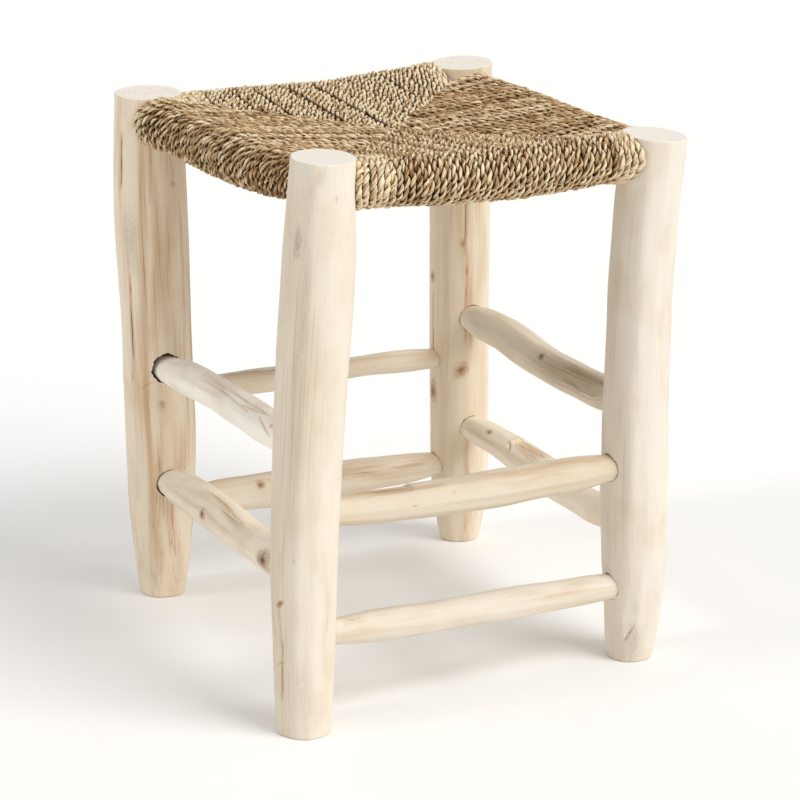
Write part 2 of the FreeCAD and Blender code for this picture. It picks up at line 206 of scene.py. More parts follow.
@dataclass
class Skin:
    """The points and faces of one piece, and the measures at its points that a finish reads."""

    blocks: list[Array] = field(default_factory=list)
    faces: list[Sequence[int]] = field(default_factory=list)
    measures: dict[str, list[Array]] = field(default_factory=dict)
    count: int = 0

    def add_rings(self, rings: Array, **measures: Array) -> None:
        """Add a closed skin through rings of points, with a face over each end.

        Args:
            rings: points by ring and place on the ring.
            measures: a value, or a vector, at each of those points.
        """
        rows, sides = rings.shape[:2]
        first = self.count
        index = first + np.arange(rows * sides).reshape(rows, sides)
        across = np.roll(index, -1, axis=1)
        quads = np.stack([index[:-1], across[:-1], across[1:], index[1:]], axis=-1)
        self.faces.extend(quads.reshape(-1, 4).tolist())
        self.faces.append(index[0, ::-1].tolist())
        self.faces.append(index[-1].tolist())
        self.blocks.append(rings.reshape(-1, 3))
        self.count += rows * sides
        for name, value in measures.items():
            tail = value.shape[2:]
            self.measures.setdefault(name, []).append(value.reshape(-1, *tail))

    def mesh(self, name: str) -> bpy.types.Mesh:
        """Make the mesh, in metres, with its measures.

        Args:
            name: the mesh's name.

        Returns:
            The new mesh, smooth all over.
        """
        mesh = bpy.data.meshes.new(name)
        points = np.concatenate(self.blocks) / METRE
        mesh.from_pydata(points.tolist(), [], self.faces)
        for measure, values in self.measures.items():
            write_measure(mesh, measure, np.concatenate(values))
        mesh.shade_smooth()
        return mesh


def write_measure(mesh: bpy.types.Mesh, name: str, values: Array) -> None:
    """Keep a measure at the points of a mesh.

    Args:
        mesh: the mesh to write to.
        name: what the finish calls the measure.
        values: one number or one vector for each point.
    """
    if values.ndim == 1:
        layer = mesh.attributes.new(name, "FLOAT", "POINT")
        layer.data.foreach_set("value", values.astype(np.float32))
    else:
        layer = mesh.attributes.new(name, "FLOAT_VECTOR", "POINT")
        layer.data.foreach_set("vector", values.astype(np.float32).ravel())


def new_object(name: str, data: bpy.types.ID) -> bpy.types.Object:
    """Put a new object in the scene.

    Args:
        name: its name.
        data: its mesh, lamp or camera.

    Returns:
        The object, at the origin.
    """
    item = bpy.data.objects.new(name, data)
    bpy.context.scene.collection.objects.link(item)
    return item


def place_in_scene(name: str, mesh: bpy.types.Mesh, material: bpy.types.Material,
                   node: str) -> bpy.types.Object:
    """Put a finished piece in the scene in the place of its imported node.

    Args:
        name: the piece's name.
        mesh: its mesh.
        material: its finish.
        node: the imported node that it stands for.

    Returns:
        The new object.
    """
    piece = new_object(name, mesh)
    mesh.materials.clear()
    mesh.materials.append(material)
    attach(piece, "root")
    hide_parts(node)
    log.info("%s: %d faces", name, len(mesh.polygons))
    return piece


@dataclass(frozen=True)
class Pattern:
    """A cloudy pattern: its cells to the unit of length in each direction, and its finer layers."""

    rates: tuple[float, float, float]
    detail: float = 2.0
    roughness: float = 0.5


class Signal:
    """A value inside a shader, with Python's arithmetic: each operation adds its node."""

    def __init__(self, shader: "Shader", socket: bpy.types.NodeSocket) -> None:
        """Wrap an output socket of a shader's node."""
        self.shader = shader
        self.socket = socket

    def _math(self, operation: str, *values: "Signal | float") -> "Signal":
        """Add a Math node.

        Args:
            operation: what it does.
            values: what it works on, in their order.

        Returns:
            The value that comes out.
        """
        return self.shader.signal("ShaderNodeMath", {"operation": operation}, dict(enumerate(values)))

    def __add__(self, other: "Signal | float") -> "Signal":
        """Add."""
        return self._math("ADD", self, other)

    __radd__ = __add__

    def __sub__(self, other: "Signal | float") -> "Signal":
        """Take away."""
        return self._math("SUBTRACT", self, other)

    def __rsub__(self, other: "Signal | float") -> "Signal":
        """Take this from a number."""
        return self._math("SUBTRACT", other, self)

    def __mul__(self, other: "Signal | float") -> "Signal":
        """Multiply."""
        return self._math("MULTIPLY", self, other)

    __rmul__ = __mul__

    def wave(self) -> "Signal":
        """Swing between 0 and 1, once in each full turn."""
        return self._math("SINE", self) * 0.5 + 0.5

    def most(self, other: "Signal | float") -> "Signal":
        """Keep the larger of two."""
        return self._math("MAXIMUM", self, other)

    def rise(self, low: float, high: float) -> "Signal":
        """Go softly from 0 at one value to 1 at another.

        Args:
            low: where it is 0.
            high: where it is 1.

        Returns:
            The softened step.
        """
        inputs = {"Value": self, "From Min": low, "From Max": high}
        return self.shader.signal("ShaderNodeMapRange", {"interpolation_type": "SMOOTHSTEP"}, inputs)

    def fall(self, low: float, high: float) -> "Signal":
        """Go softly from 1 at a low value to 0 at a high one."""
        return 1.0 - self.rise(low, high)


class Shader:
    """One finish in the making: its nodes, and the surface that they end in."""

    def __init__(self, name: str) -> None:
        """Start a material that holds only a surface and its output.

        Args:
            name: the material's name.
        """
        self.material = bpy.data.materials.new(name)
        self.material.use_nodes = True
        self.tree = self.material.node_tree
        self.tree.nodes.clear()
        self.surface = self.node("ShaderNodeBsdfPrincipled")
        output = self.node("ShaderNodeOutputMaterial")
        self.tree.links.new(self.surface.outputs[0], output.inputs[0])

    def node(self, kind: str, settings: dict[str, object] | None = None,
             inputs: dict[str | int, object] | None = None) -> bpy.types.Node:
        """Add a node.

        Args:
            kind: Blender's name for the type of node.
            settings: what is set on the node itself, before its sockets.
            inputs: a value or a link for each socket, by its name or number.

        Returns:
            The new node.
        """
        node = self.tree.nodes.new(kind)
        for key, value in (settings or {}).items():
            setattr(node, key, value)
        for key, value in (inputs or {}).items():
            self.feed(node.inputs[key], value)
        return node

    def signal(self, kind: str, settings: dict[str, object], inputs: dict[str | int, object],
               output: str | int = 0) -> Signal:
        """Add a node and take what comes out of it.

        Args:
            kind: Blender's name for the type of node.
            settings: what is set on the node itself.
            inputs: a value or a link for each socket.
            output: the name or number of the socket that it is read from.

        Returns:
            The value that comes out.
        """
        return Signal(self, self.node(kind, settings, inputs).outputs[output])

    def feed(self, socket: bpy.types.NodeSocket, value: object) -> None:
        """Feed a socket.

        Args:
            socket: where the value goes.
            value: a signal to link, or a plain value to set.
        """
        if isinstance(value, Signal):
            self.tree.links.new(value.socket, socket)
        else:
            socket.default_value = value

    def measure(self, name: str, vector: bool = False) -> Signal:
        """Read a measure that the mesh keeps at its points."""
        output = "Vector" if vector else "Fac"
        return self.signal("ShaderNodeAttribute", {"attribute_name": name}, {}, output)

    def object_place(self) -> Signal:
        """Read the place on an object whose mesh keeps no measures."""
        return self.signal("ShaderNodeTexCoord", {}, {}, "Object")

    def stretched(self, vector: Signal, rates: tuple[float, float, float]) -> Signal:
        """Multiply each part of a vector by its own rate."""
        return self.signal("ShaderNodeVectorMath", {"operation": "MULTIPLY"}, {0: vector, 1: rates})

    def length(self, vector: Signal) -> Signal:
        """Measure a vector."""
        return self.signal("ShaderNodeVectorMath", {"operation": "LENGTH"}, {0: vector}, "Value")

    def noise(self, vector: Signal, pattern: Pattern) -> Signal:
        """Read a cloudy pattern.

        Args:
            vector: the place to read it at.
            pattern: its scale and its finer layers.

        Returns:
            Values that lie round a half.
        """
        inputs = {"Vector": self.stretched(vector, pattern.rates), "Scale": 1.0,
                  "Detail": pattern.detail, "Roughness": pattern.roughness}
        return self.signal("ShaderNodeTexNoise", {}, inputs)

    def mix(self, first: "Signal | Colour", second: "Signal | Colour",
            share: "Signal | float") -> Signal:
        """Blend two colours.

        Args:
            first: the one colour.
            second: the other.
            share: how much of the other there is.

        Returns:
            The blend.
        """
        settings = {"data_type": "RGBA", "clamp_factor": True}
        return self.signal("ShaderNodeMix", settings, {0: share, 6: first, 7: second}, output=2)

    def dimmed(self, colour: Signal, amount: Signal) -> Signal:
        """Multiply a colour by a value."""
        return self.signal("ShaderNodeVectorMath", {"operation": "SCALE"}, {0: colour, 3: amount})

    def finish(self, colour: Signal, roughness: Signal, height: Signal, depth: float,
               gloss: float) -> bpy.types.Material:
        """Lay the surface.

        Args:
            colour: its colour.
            roughness: its roughness.
            height: its relief, from 0 to 1.
            depth: how deep that relief is, in millimetres.
            gloss: how strongly it reflects, 0.5 on a common varnish.

        Returns:
            The finished material.
        """
        relief = self.signal("ShaderNodeBump", {}, {"Height": height, "Distance": depth / METRE})
        self.feed(self.surface.inputs["Base Color"], colour)
        self.feed(self.surface.inputs["Roughness"], roughness)
        self.feed(self.surface.inputs["Specular IOR Level"], gloss)
        self.feed(self.surface.inputs["Normal"], relief)
        return self.material


@dataclass(frozen=True)
class PoleWood:
    """Peeled poplar or eucalyptus: pale cream wood with long tan streaks, knots and checks."""

    pale: str = "eaddc8"
    tan: str = "cfb48f"
    streak: str = "ab7b4c"
    knot: str = "5f4228"
    check: str = "4a3322"
    # bored: painted shade, the near-black laid on the walls of the bored holes.
    bored: str = "33200f"
    bruise: str = "b9ad98"
    sawn: str = "ebe5da"
    streakiness: float = 0.5
    ringed: float = 0.3

    fibres: Pattern = Pattern((0.9, 0.9, 0.016), 4.0, 0.62)
    bands: Pattern = Pattern((0.11, 0.11, 0.0045))
    clouds: Pattern = Pattern((0.045, 0.045, 0.022), 3.0)
    flecks: Pattern = Pattern((1.5, 1.5, 0.22), 1.0)
    growth_lines: Pattern = Pattern((0.55, 0.55, 0.0035), 3.0, 0.6)
    scuffs: Pattern = Pattern((0.9, 0.9, 0.3), 4.0, 0.8)
    blots: Pattern = Pattern((0.4, 0.4, 0.3), 3.0, 0.6)
    ring_wander: Pattern = Pattern((0.12, 0.12, 0.0))
    ring_breaks: Pattern = Pattern((0.09, 0.09, 0.0), 1.0)
    rays: Pattern = Pattern((0.5, 0.5, 0.0), 3.0, 0.7)
    knot_rings: float = 13.0
    year_rings: float = 1.5

    def material(self, name: str) -> bpy.types.Material:
        """Make the material.

        Args:
            name: the material's name.

        Returns:
            A material that reads the measures of a pole.
        """
        shader = Shader(name)
        grain = shader.measure("grain", vector=True)
        fibre = shader.noise(grain, self.fibres)
        broad = shader.noise(grain, self.bands)
        cloud = shader.noise(grain, self.clouds)
        fleck = shader.noise(grain, self.flecks).rise(0.68, 0.8)
        lines = shader.noise(grain, self.growth_lines).rise(0.52, 0.68)
        worn = shader.noise(grain, self.scuffs).rise(0.4, 0.62) * shader.measure("bruise")

        streaks = broad.rise(0.5, 0.72) * self.streakiness
        colour = shader.mix(paint(self.pale), paint(self.tan), cloud.rise(0.42, 0.8) * 0.35)
        colour = shader.mix(colour, paint(self.tan), streaks * (0.45 + fibre * 0.7))
        colour = shader.mix(colour, paint(self.streak), fleck * 0.3)
        colour = shader.mix(colour, paint(self.streak), lines * streaks * 0.35)
        # This measure carries real streaks and, on the front left leg's left flank, painted shade.
        stain_and_shade = shader.measure("stain_and_shade").most(shader.measure("chip") * 0.5)
        colour = shader.mix(colour, paint(self.tan), stain_and_shade * 0.5)
        colour = shader.mix(colour, paint(self.streak), stain_and_shade * (lines * 0.75 + 0.12))
        colour = shader.mix(colour, paint(self.bruise), worn)
        colour = self._marked(shader, grain, fibre, colour)
        colour = self._sawn(shader, grain, colour)
        colour = shader.dimmed(colour, 0.92 + fibre * 0.16)
        roughness = 0.6 + fibre * 0.2
        relief = fibre * 0.5 + cloud * 0.5 - worn
        return shader.finish(colour, roughness, relief, depth=0.35, gloss=0.3)

    def _marked(self, shader: Shader, grain: Signal, fibre: Signal, colour: Signal) -> Signal:
        """Lay a pole's own marks over its plain colour.

        Args:
            shader: the finish in the making.
            grain: the place in the straight pole, with its pith on the third axis.
            fibre: the pattern of its fibres.
            colour: the plain colour.

        Returns:
            The colour with knots and checks, and painted shade darkening the walls of the bored holes.
        """
        blot = shader.noise(grain, self.blots)
        knot = shader.measure("knot") + (fibre - 0.5) * 0.35 + (blot - 0.5) * 1.1
        check = shader.measure("check") + (fibre - 0.5) * 0.25
        rings = (knot * self.knot_rings).wave() * knot.fall(0.75, 1.25)
        colour = shader.mix(colour, paint(self.streak), knot.fall(0.55, 1.7) * 0.55)
        colour = shader.mix(colour, paint(self.knot), knot.fall(0.1, 0.75) * 0.8 + rings * 0.22)
        colour = shader.mix(colour, paint(self.streak), check.fall(0.1, 2.2) * 0.35)
        colour = shader.mix(colour, paint(self.check), check.fall(-0.05, 0.3) * 0.85)
        # Painted shade: the walls of the bored holes are darkened towards the bored colour.
        return shader.mix(colour, paint(self.bored), shader.measure("inside"))

    def _sawn(self, shader: Shader, grain: Signal, colour: Signal) -> Signal:
        """Lay the end grain over the sawn ends.

        Args:
            shader: the finish in the making.
            grain: the place in the straight pole, with its pith on the third axis.
            colour: the colour of the rest.

        Returns:
            The colour with faint year rings and rays on the ends.
        """
        across = shader.stretched(grain, (1.0, 1.0, 0.0))
        girth = shader.length(across) + shader.noise(across, self.ring_wander) * 5.0
        rays = shader.noise(across, self.rays)
        rings = (girth * self.year_rings).wave()
        rings = rings * shader.noise(across, self.ring_breaks).rise(0.4, 0.65)
        worked = rings * self.ringed + rays.rise(0.4, 0.8) * 0.25
        sawn = shader.mix(paint(self.sawn), paint(self.tan), worked)
        return shader.mix(colour, sawn, shader.measure("sawn"))


@dataclass(frozen=True)
class StretcherWood(PoleWood):
    """The younger wood of the stretchers, with softer checks."""

    pale: str = "ecdfca"
    check: str = "6f5034"


@dataclass(frozen=True)
class CordStraw:
    """Twisted sea grass: pale straw ridges with painted highlights on their crowns, over gaps darkened
    with painted shade, with a long fine fibre.
    """

    dark: str = "7d5a35"
    middle: str = "c09b69"
    pale: str = "f3dfba"
    reed: str = "a8723c"
    # gap: painted shade, the dark brown laid in the gaps between strands and cords; it also colours the
    # leaf splits.
    gap: str = "4c3118"

    fibres: Pattern = Pattern((0.09, 1.5, 1.5), 4.0, 0.65)
    leaves: Pattern = Pattern((0.06, 0.62, 0.62), 1.0)
    patches: Pattern = Pattern((0.05, 0.12, 0.12))
    reeds: Pattern = Pattern((0.03, 0.3, 0.3), 1.0)

    def material(self, name: str) -> bpy.types.Material:
        """Make the material.

        Args:
            name: the material's name.

        Returns:
            A material that reads the measures of the cord.
        """
        shader = Shader(name)
        strand = shader.measure("fibre", vector=True)
        tone = shader.measure("tone")
        fibre = shader.noise(strand, self.fibres)
        leaf = shader.noise(strand, self.leaves)
        patch = shader.noise(strand, self.patches)
        crevice = shader.measure("crevice")
        shade = tone + (patch - 0.5) * 0.7 + (fibre - 0.5) * 0.5
        # Painted highlight and shade: the crowns of the strands are made paler and their sides darker
        # by the crevice shade measure.
        shade = shade + (leaf.rise(0.35, 0.65) - 0.5) * 0.6 + (0.3 - crevice) * 0.45
        colour = shader.mix(paint(self.dark), paint(self.middle), shade.rise(0.0, 0.5))
        colour = shader.mix(colour, paint(self.pale), shade.rise(0.45, 1.0))
        reed = shader.noise(strand, self.reeds).rise(0.62, 0.72)
        colour = shader.mix(colour, paint(self.reed), reed * 0.5)
        split = leaf.fall(0.32, 0.42) * 0.5
        # Painted shade: the gaps are mixed to the gap colour by the crevice shade measure; the leaf
        # splits take the same colour.
        colour = shader.mix(colour, paint(self.gap), crevice.most(split))
        colour = shader.dimmed(colour, 0.8 + fibre * 0.4)
        roughness = 0.5 + fibre * 0.25 + crevice * 0.25
        return shader.finish(colour, roughness, fibre * 0.4 + leaf * 0.6, depth=0.9, gloss=0.3)


class MarkKind(Enum):
    """The marks that a peeled pole shows."""

    KNOT = "knot"
    CHECK = "check"
    # A streak darkens the wood's colour; the broad one down the front left leg's left flank is painted
    # shade.
    STREAK_AND_SHADE = "stain_and_shade"
    BRUISE = "bruise"
    CHIP = "chip"


KNOT, CHECK, STREAK_AND_SHADE, BRUISE, CHIP = MarkKind


@dataclass(frozen=True)
class Mark:
    """One mark on a pole: where it lies and how large it is, with its turn in degrees."""

    kind: MarkKind
    turn: float
    along: float
    width: float
    length: float
    strength: float = 1.0
    lean: float = 0.0

    long_ratio: float = 8.0
    wander_share: float = 0.35
    wander_rate: float = 4.1

    def place(self, angle: Array, along: Array, radius: Array) -> tuple[Array, Array]:
        """Find how far points lie from the mark's middle line.

        Args:
            angle: places round the pole, in radians.
            along: places along it.
            radius: the pole's radius there.

        Returns:
            The distance to the side, and the share of the mark's half length along it.
        """
        share = (along - self.along) / (self.length / 2.0)
        side = wrapped(angle - math.radians(self.turn)) * radius
        is_long = self.length > self.long_ratio * self.width
        wander = self.width * self.wander_share if is_long else 0.0
        return side - self.lean * share - wander * np.sin(share * self.wander_rate + self.turn), share


@dataclass(frozen=True)
class Bore:
    """A blind hole for the end of a cross piece, as wide as it was bored."""

    start: Array
    direction: Array
    radius: float
    depth: float
    torn: float = 0.15

    sides: int = 72
    overrun: float = 14.0

    def cutter(self, skin: Skin) -> None:
        """Add the hole's space, which starts well outside the leg, to a skin.

        Args:
            skin: where the space is added.
        """
        across = unit(np.cross(self.direction, UPWARD))
        other = np.cross(self.direction, across)
        angle = np.linspace(0.0, math.tau, self.sides, endpoint=False)
        ragged = self.radius + self.torn * (np.sin(3 * angle + 1.0) + 0.8 * np.sin(7 * angle)
                                            + 0.7 * np.sin(17 * angle + 2.0))
        ring = spoke(angle, across, other)
        ends = [self.start - self.direction * self.overrun, self.start + self.direction * self.depth]
        skin.add_rings(np.stack([end + ring * ragged[:, None] for end in ends]))


@dataclass
class Pole(ABC):
    """A peeled and dressed pole: what legs and stretchers share.

    Each hewn flat is its turn and its half width, in degrees.
    """

    name: str
    seed: int
    marks: tuple[Mark, ...] = ()
    hewn: tuple[tuple[float, float], ...] = ()
    wood: PoleWood = PoleWood()

    sides: int = 128
    row_step: float = 1.7
    swell_height: float = 0.35
    oval_share: float = 0.012
    flats: int = 9
    flat_depth_share: float = 0.016
    flat_softness: float = 0.35
    flat_turn_spread: float = 0.3
    flat_depth_range: tuple[float, float] = (0.3, 1.3)
    flat_sway: float = 0.1
    flat_waves: tuple[float, float] = (60.0, 140.0)
    hewn_softness: float = 0.7
    hewn_sway: float = 0.05
    hewn_wave: float = 90.0
    planing_allowance: float = 0.35
    pith_offset: float = 2.5
    knot_height_share: float = 0.09
    check_depth_share: float = 0.9
    grain_bend: float = 1.3
    grain_apart: float = 900.0
    unmarked: float = 9.0
    knot_fade: float = 1.1
    check_fade: float = 0.5
    bore_shade_depths: tuple[float, float] = (1.2, 2.6)
    end_margins: tuple[float, float] = (3.0, 5.0)

    @abstractmethod
    def middle(self, along: Array) -> Array:
        """Give the pole's middle at places along it."""

    @abstractmethod
    def across(self) -> tuple[Array, Array]:
        """Give the two directions across the pole, from which its turns are counted."""

    @abstractmethod
    def girth(self, along: Array) -> Array:
        """Give the pole's plain diameter at places along it."""

    @abstractmethod
    def rows(self) -> Array:
        """List the rows of the skin: place along, how far the row is let in, and its share."""

    @abstractmethod
    def along_of(self, points: Array) -> Array:
        """Find how far along the pole points lie."""

    def knife_cuts(self, angle: Array, along: Array, radius: Array) -> Array:
        """Whittle the pole's ends, which a plain pole leaves as they are."""
        return radius

    def ends_of_grain(self, along: Array) -> Array:
        """Tell which points lie on a sawn end."""
        return np.zeros_like(along)

    def settled(self, points: Array) -> Array:
        """Move the finished points, which a plain pole leaves where they are."""
        return points

    def radius(self, angle: Array, along: Array) -> Array:
        """Work out the pole's surface.

        Args:
            angle: places round the pole, in radians.
            along: places along it.

        Returns:
            The distance from the middle to the surface.
        """
        random = np.random.default_rng(self.seed)
        plain = self.girth(along) / 2.0 + self.planing_allowance
        oval = np.cos(2.0 * (angle - random.uniform(0.0, math.pi)))
        radius = plain * (1.0 + self.oval_share * oval)
        radius = radius + Swell(self.seed, self.swell_height).at(angle, along)
        for number in range(self.flats):
            spread = random.uniform(-self.flat_turn_spread, self.flat_turn_spread)
            turn = (number + spread) * math.tau / self.flats
            sway = np.sin(along / random.uniform(*self.flat_waves) + random.uniform(0.0, 6.0))
            depth = self.flat_depth_share * random.uniform(*self.flat_depth_range)
            facing = angle - turn - self.flat_sway * sway
            radius = planed(radius, facing, plain * (1.0 - depth), self.flat_softness)
        for turn, half_width in self.hewn:
            sway = self.hewn_sway * np.sin(along / self.hewn_wave + turn)
            distance = plain * math.cos(math.radians(half_width))
            facing = angle - math.radians(turn) - sway
            radius = planed(radius, facing, distance, self.hewn_softness)
        radius = self.knife_cuts(angle, along, radius)
        return radius + self.relief(angle, along, plain)

    def relief(self, angle: Array, along: Array, plain: Array) -> Array:
        """Raise knots, open checks, roughen bruises and cut chips in the surface.

        Args:
            angle: places round the pole.
            along: places along it.
            plain: the pole's plain radius there.

        Returns:
            How far the marks move the surface out.
        """
        moved = np.zeros(np.broadcast(angle, along).shape)
        for mark in self.marks:
            side, share = mark.place(angle, along, plain)
            if mark.kind is KNOT:
                spread = np.hypot(side / (mark.width / 2.0), share)
                swollen = np.exp(-0.45 * spread ** 2) - 0.75 * np.exp(-3.0 * spread ** 2)
                moved += mark.strength * self.knot_height_share * mark.width * swollen
            elif mark.kind is CHECK:
                gap = mark.width * np.sqrt(np.clip(1.0 - share ** 2, 0.0, 1.0)) + 0.05
                groove = np.exp(-(side / (gap + 0.5)) ** 2)
                moved -= mark.strength * self.check_depth_share * gap * groove
            elif mark.kind is BRUISE:
                reach = np.exp(-(side / (mark.width / 2.0)) ** 2 - share ** 4)
                rough = Swell(self.seed + 7, 0.3, most_round=40, shortest=5.0).at(angle, along)
                moved += mark.strength * reach * (rough - 0.2)
            elif mark.kind is CHIP:
                reach = np.exp(-(side / (mark.width / 2.0)) ** 4)
                moved -= mark.strength * reach * ease(share, -1.0, 0.6) * ease(share, 1.0, 0.9)
        return moved

    def finish_measures(self, points: Array) -> dict[str, Array]:
        """Work out what the wood's finish reads at points on the pole.

        Args:
            points: the points, in millimetres.

        Returns:
            Each measure by its name.
        """
        along = self.along_of(points)
        first, second = self.across()
        offset = points - self.middle(along)
        x, y = offset @ first, offset @ second
        angle, distance = np.arctan2(y, x), np.hypot(x, y)
        plain = self.girth(along) / 2.0
        random = np.random.default_rng(self.seed + 1)
        pith = random.uniform(-self.pith_offset, self.pith_offset, 2)
        turned = angle + self.grain_shift(angle, along, plain) / plain
        grain = np.stack([distance * np.cos(turned) - pith[0], distance * np.sin(turned) - pith[1],
                          along + self.grain_apart * self.seed], axis=-1)
        sawn = self.ends_of_grain(along)
        # Painted shade: points let into a bore, below the pole's outside, are marked to be darkened.
        bore_shade = ease(self.radius(angle, along) - distance, *self.bore_shade_depths) * self.amid(along)
        measures = {kind.value: np.zeros_like(along) for kind in MarkKind}
        measures[KNOT.value] += self.unmarked
        measures[CHECK.value] += self.unmarked
        for mark in self.marks:
            side, share = mark.place(angle, along, plain)
            values = measures[mark.kind.value]
            if mark.kind is KNOT:
                soft = self.knot_fade * (1.0 - min(mark.strength, 1.0))
                np.minimum(values, np.hypot(side / (mark.width / 2.0), share) + soft, out=values)
            elif mark.kind is CHECK:
                half = mark.width / 2.0 * np.sqrt(np.clip(1.0 - share ** 2, 0.0, 1.0))
                past = np.clip(np.abs(share) - 1.0, 0.0, None) * mark.length / 2.0
                away = np.hypot(np.abs(side) - half, past * 0.4) * np.sign(np.abs(side) - half + past)
                soft = self.check_fade * (1.0 - min(mark.strength, 1.0))
                np.minimum(values, away + soft, out=values)
            else:
                values += mark.strength * np.exp(-(side / (mark.width / 2.0)) ** 2 - share ** 4)
        return {"grain": grain, "sawn": sawn, "inside": bore_shade, **measures}

    def grain_shift(self, angle: Array, along: Array, plain: Array) -> Array:
        """Lead the grain round the knots.

        Args:
            angle: places round the pole.
            along: places along it.
            plain: the pole's plain radius there.

        Returns:
            How far to the side of each point its grain comes from.
        """
        shift = np.zeros_like(angle)
        for mark in self.marks:
            if mark.kind is KNOT:
                side, share = mark.place(angle, along, plain)
                size = (mark.width / 2.0) ** 2
                apart = side ** 2 + 0.3 * (share * mark.length / 2.0) ** 2 + 0.5 * size
                shift -= self.grain_bend * side * size / apart
        return shift

    def amid(self, along: Array) -> Array:
        """Tell which points lie away from the pole's ends.

        Args:
            along: places along the pole.

        Returns:
            0 at an end, and 1 a little way in.
        """
        rows = self.rows()[:, 0]
        near, far = self.end_margins
        return ease(along, rows[0] + near, rows[0] + far) * ease(along, rows[-1] - near, rows[-1] - far)

    def skin(self) -> Skin:
        """Run a skin over the whole pole.

        Returns:
            The closed skin, with both ends and no holes yet.
        """
        rows = self.rows()
        along = rows[:, :1]
        angle = np.linspace(0.0, math.tau, self.sides, endpoint=False)[None, :]
        radius = (self.radius(angle, along) - rows[:, 1:2]) * rows[:, 2:3]
        first, second = self.across()
        out = radius[..., None] * spoke(angle, first, second)
        skin = Skin()
        skin.add_rings(self.middle(along[:, 0])[:, None, :] + out)
        return skin

    def make(self, finish: bpy.types.Material, slot: str,
             bores: Iterable[Bore] = ()) -> bpy.types.Object:
        """Make the pole, bore its holes and dress it.

        Args:
            finish: its finish.
            slot: the record's name for that finish; not used.
            bores: the holes to cut in it.

        Returns:
            The finished pole.
        """
        mesh = bored(self.skin().mesh(self.name), list(bores), self.name)
        points = np.empty(len(mesh.vertices) * 3)
        mesh.vertices.foreach_get("co", points)
        points = points.reshape(-1, 3) * METRE
        for name, values in self.finish_measures(points).items():
            write_measure(mesh, name, values)
        mesh.vertices.foreach_set("co", (self.settled(points) / METRE).ravel())
        mesh.update()
        return place_in_scene(f"{self.name}_pole", mesh, finish, self.name)


def planed(radius: Array, angle: Array, distance: Array, softness: float) -> Array:
    """Plane a flat on a round surface, with a soft edge.

    Args:
        radius: the surface before.
        angle: places round it, from the middle of the flat.
        distance: how far the flat lies from the middle of the pole.
        softness: how wide its edges are rounded.

    Returns:
        The surface with the flat.
    """
    facing = np.cos(wrapped(angle))
    flat = distance / np.clip(facing, LEAST_FACING, None)
    return radius - softness * np.logaddexp(0.0, (radius - flat) / softness)


def bored(mesh: bpy.types.Mesh, bores: list[Bore], name: str) -> bpy.types.Mesh:
    """Cut holes in a mesh.

    Args:
        mesh: the mesh to cut.
        bores: the holes.
        name: the name of the mesh that comes out.

    Returns:
        The mesh itself where there is nothing to cut, or else a new one.
    """
    if bores:
        cutters = Skin()
        for bore in bores:
            bore.cutter(cutters)
        cutter = new_object("bores", cutters.mesh("bores"))
        block = new_object("uncut", mesh)
        cut = block.modifiers.new("cut", "BOOLEAN")
        cut.object = cutter
        cut.operation = "DIFFERENCE"
        cut.solver = "EXACT"
        ready = block.evaluated_get(bpy.context.evaluated_depsgraph_get())
        mesh = bpy.data.meshes.new_from_object(ready)
        mesh.name = name
        for item in (cutter, block):
            bpy.data.objects.remove(item)
    mesh.shade_smooth()
    mesh.set_sharp_from_angle(angle=SHARP_EDGE)
    return mesh


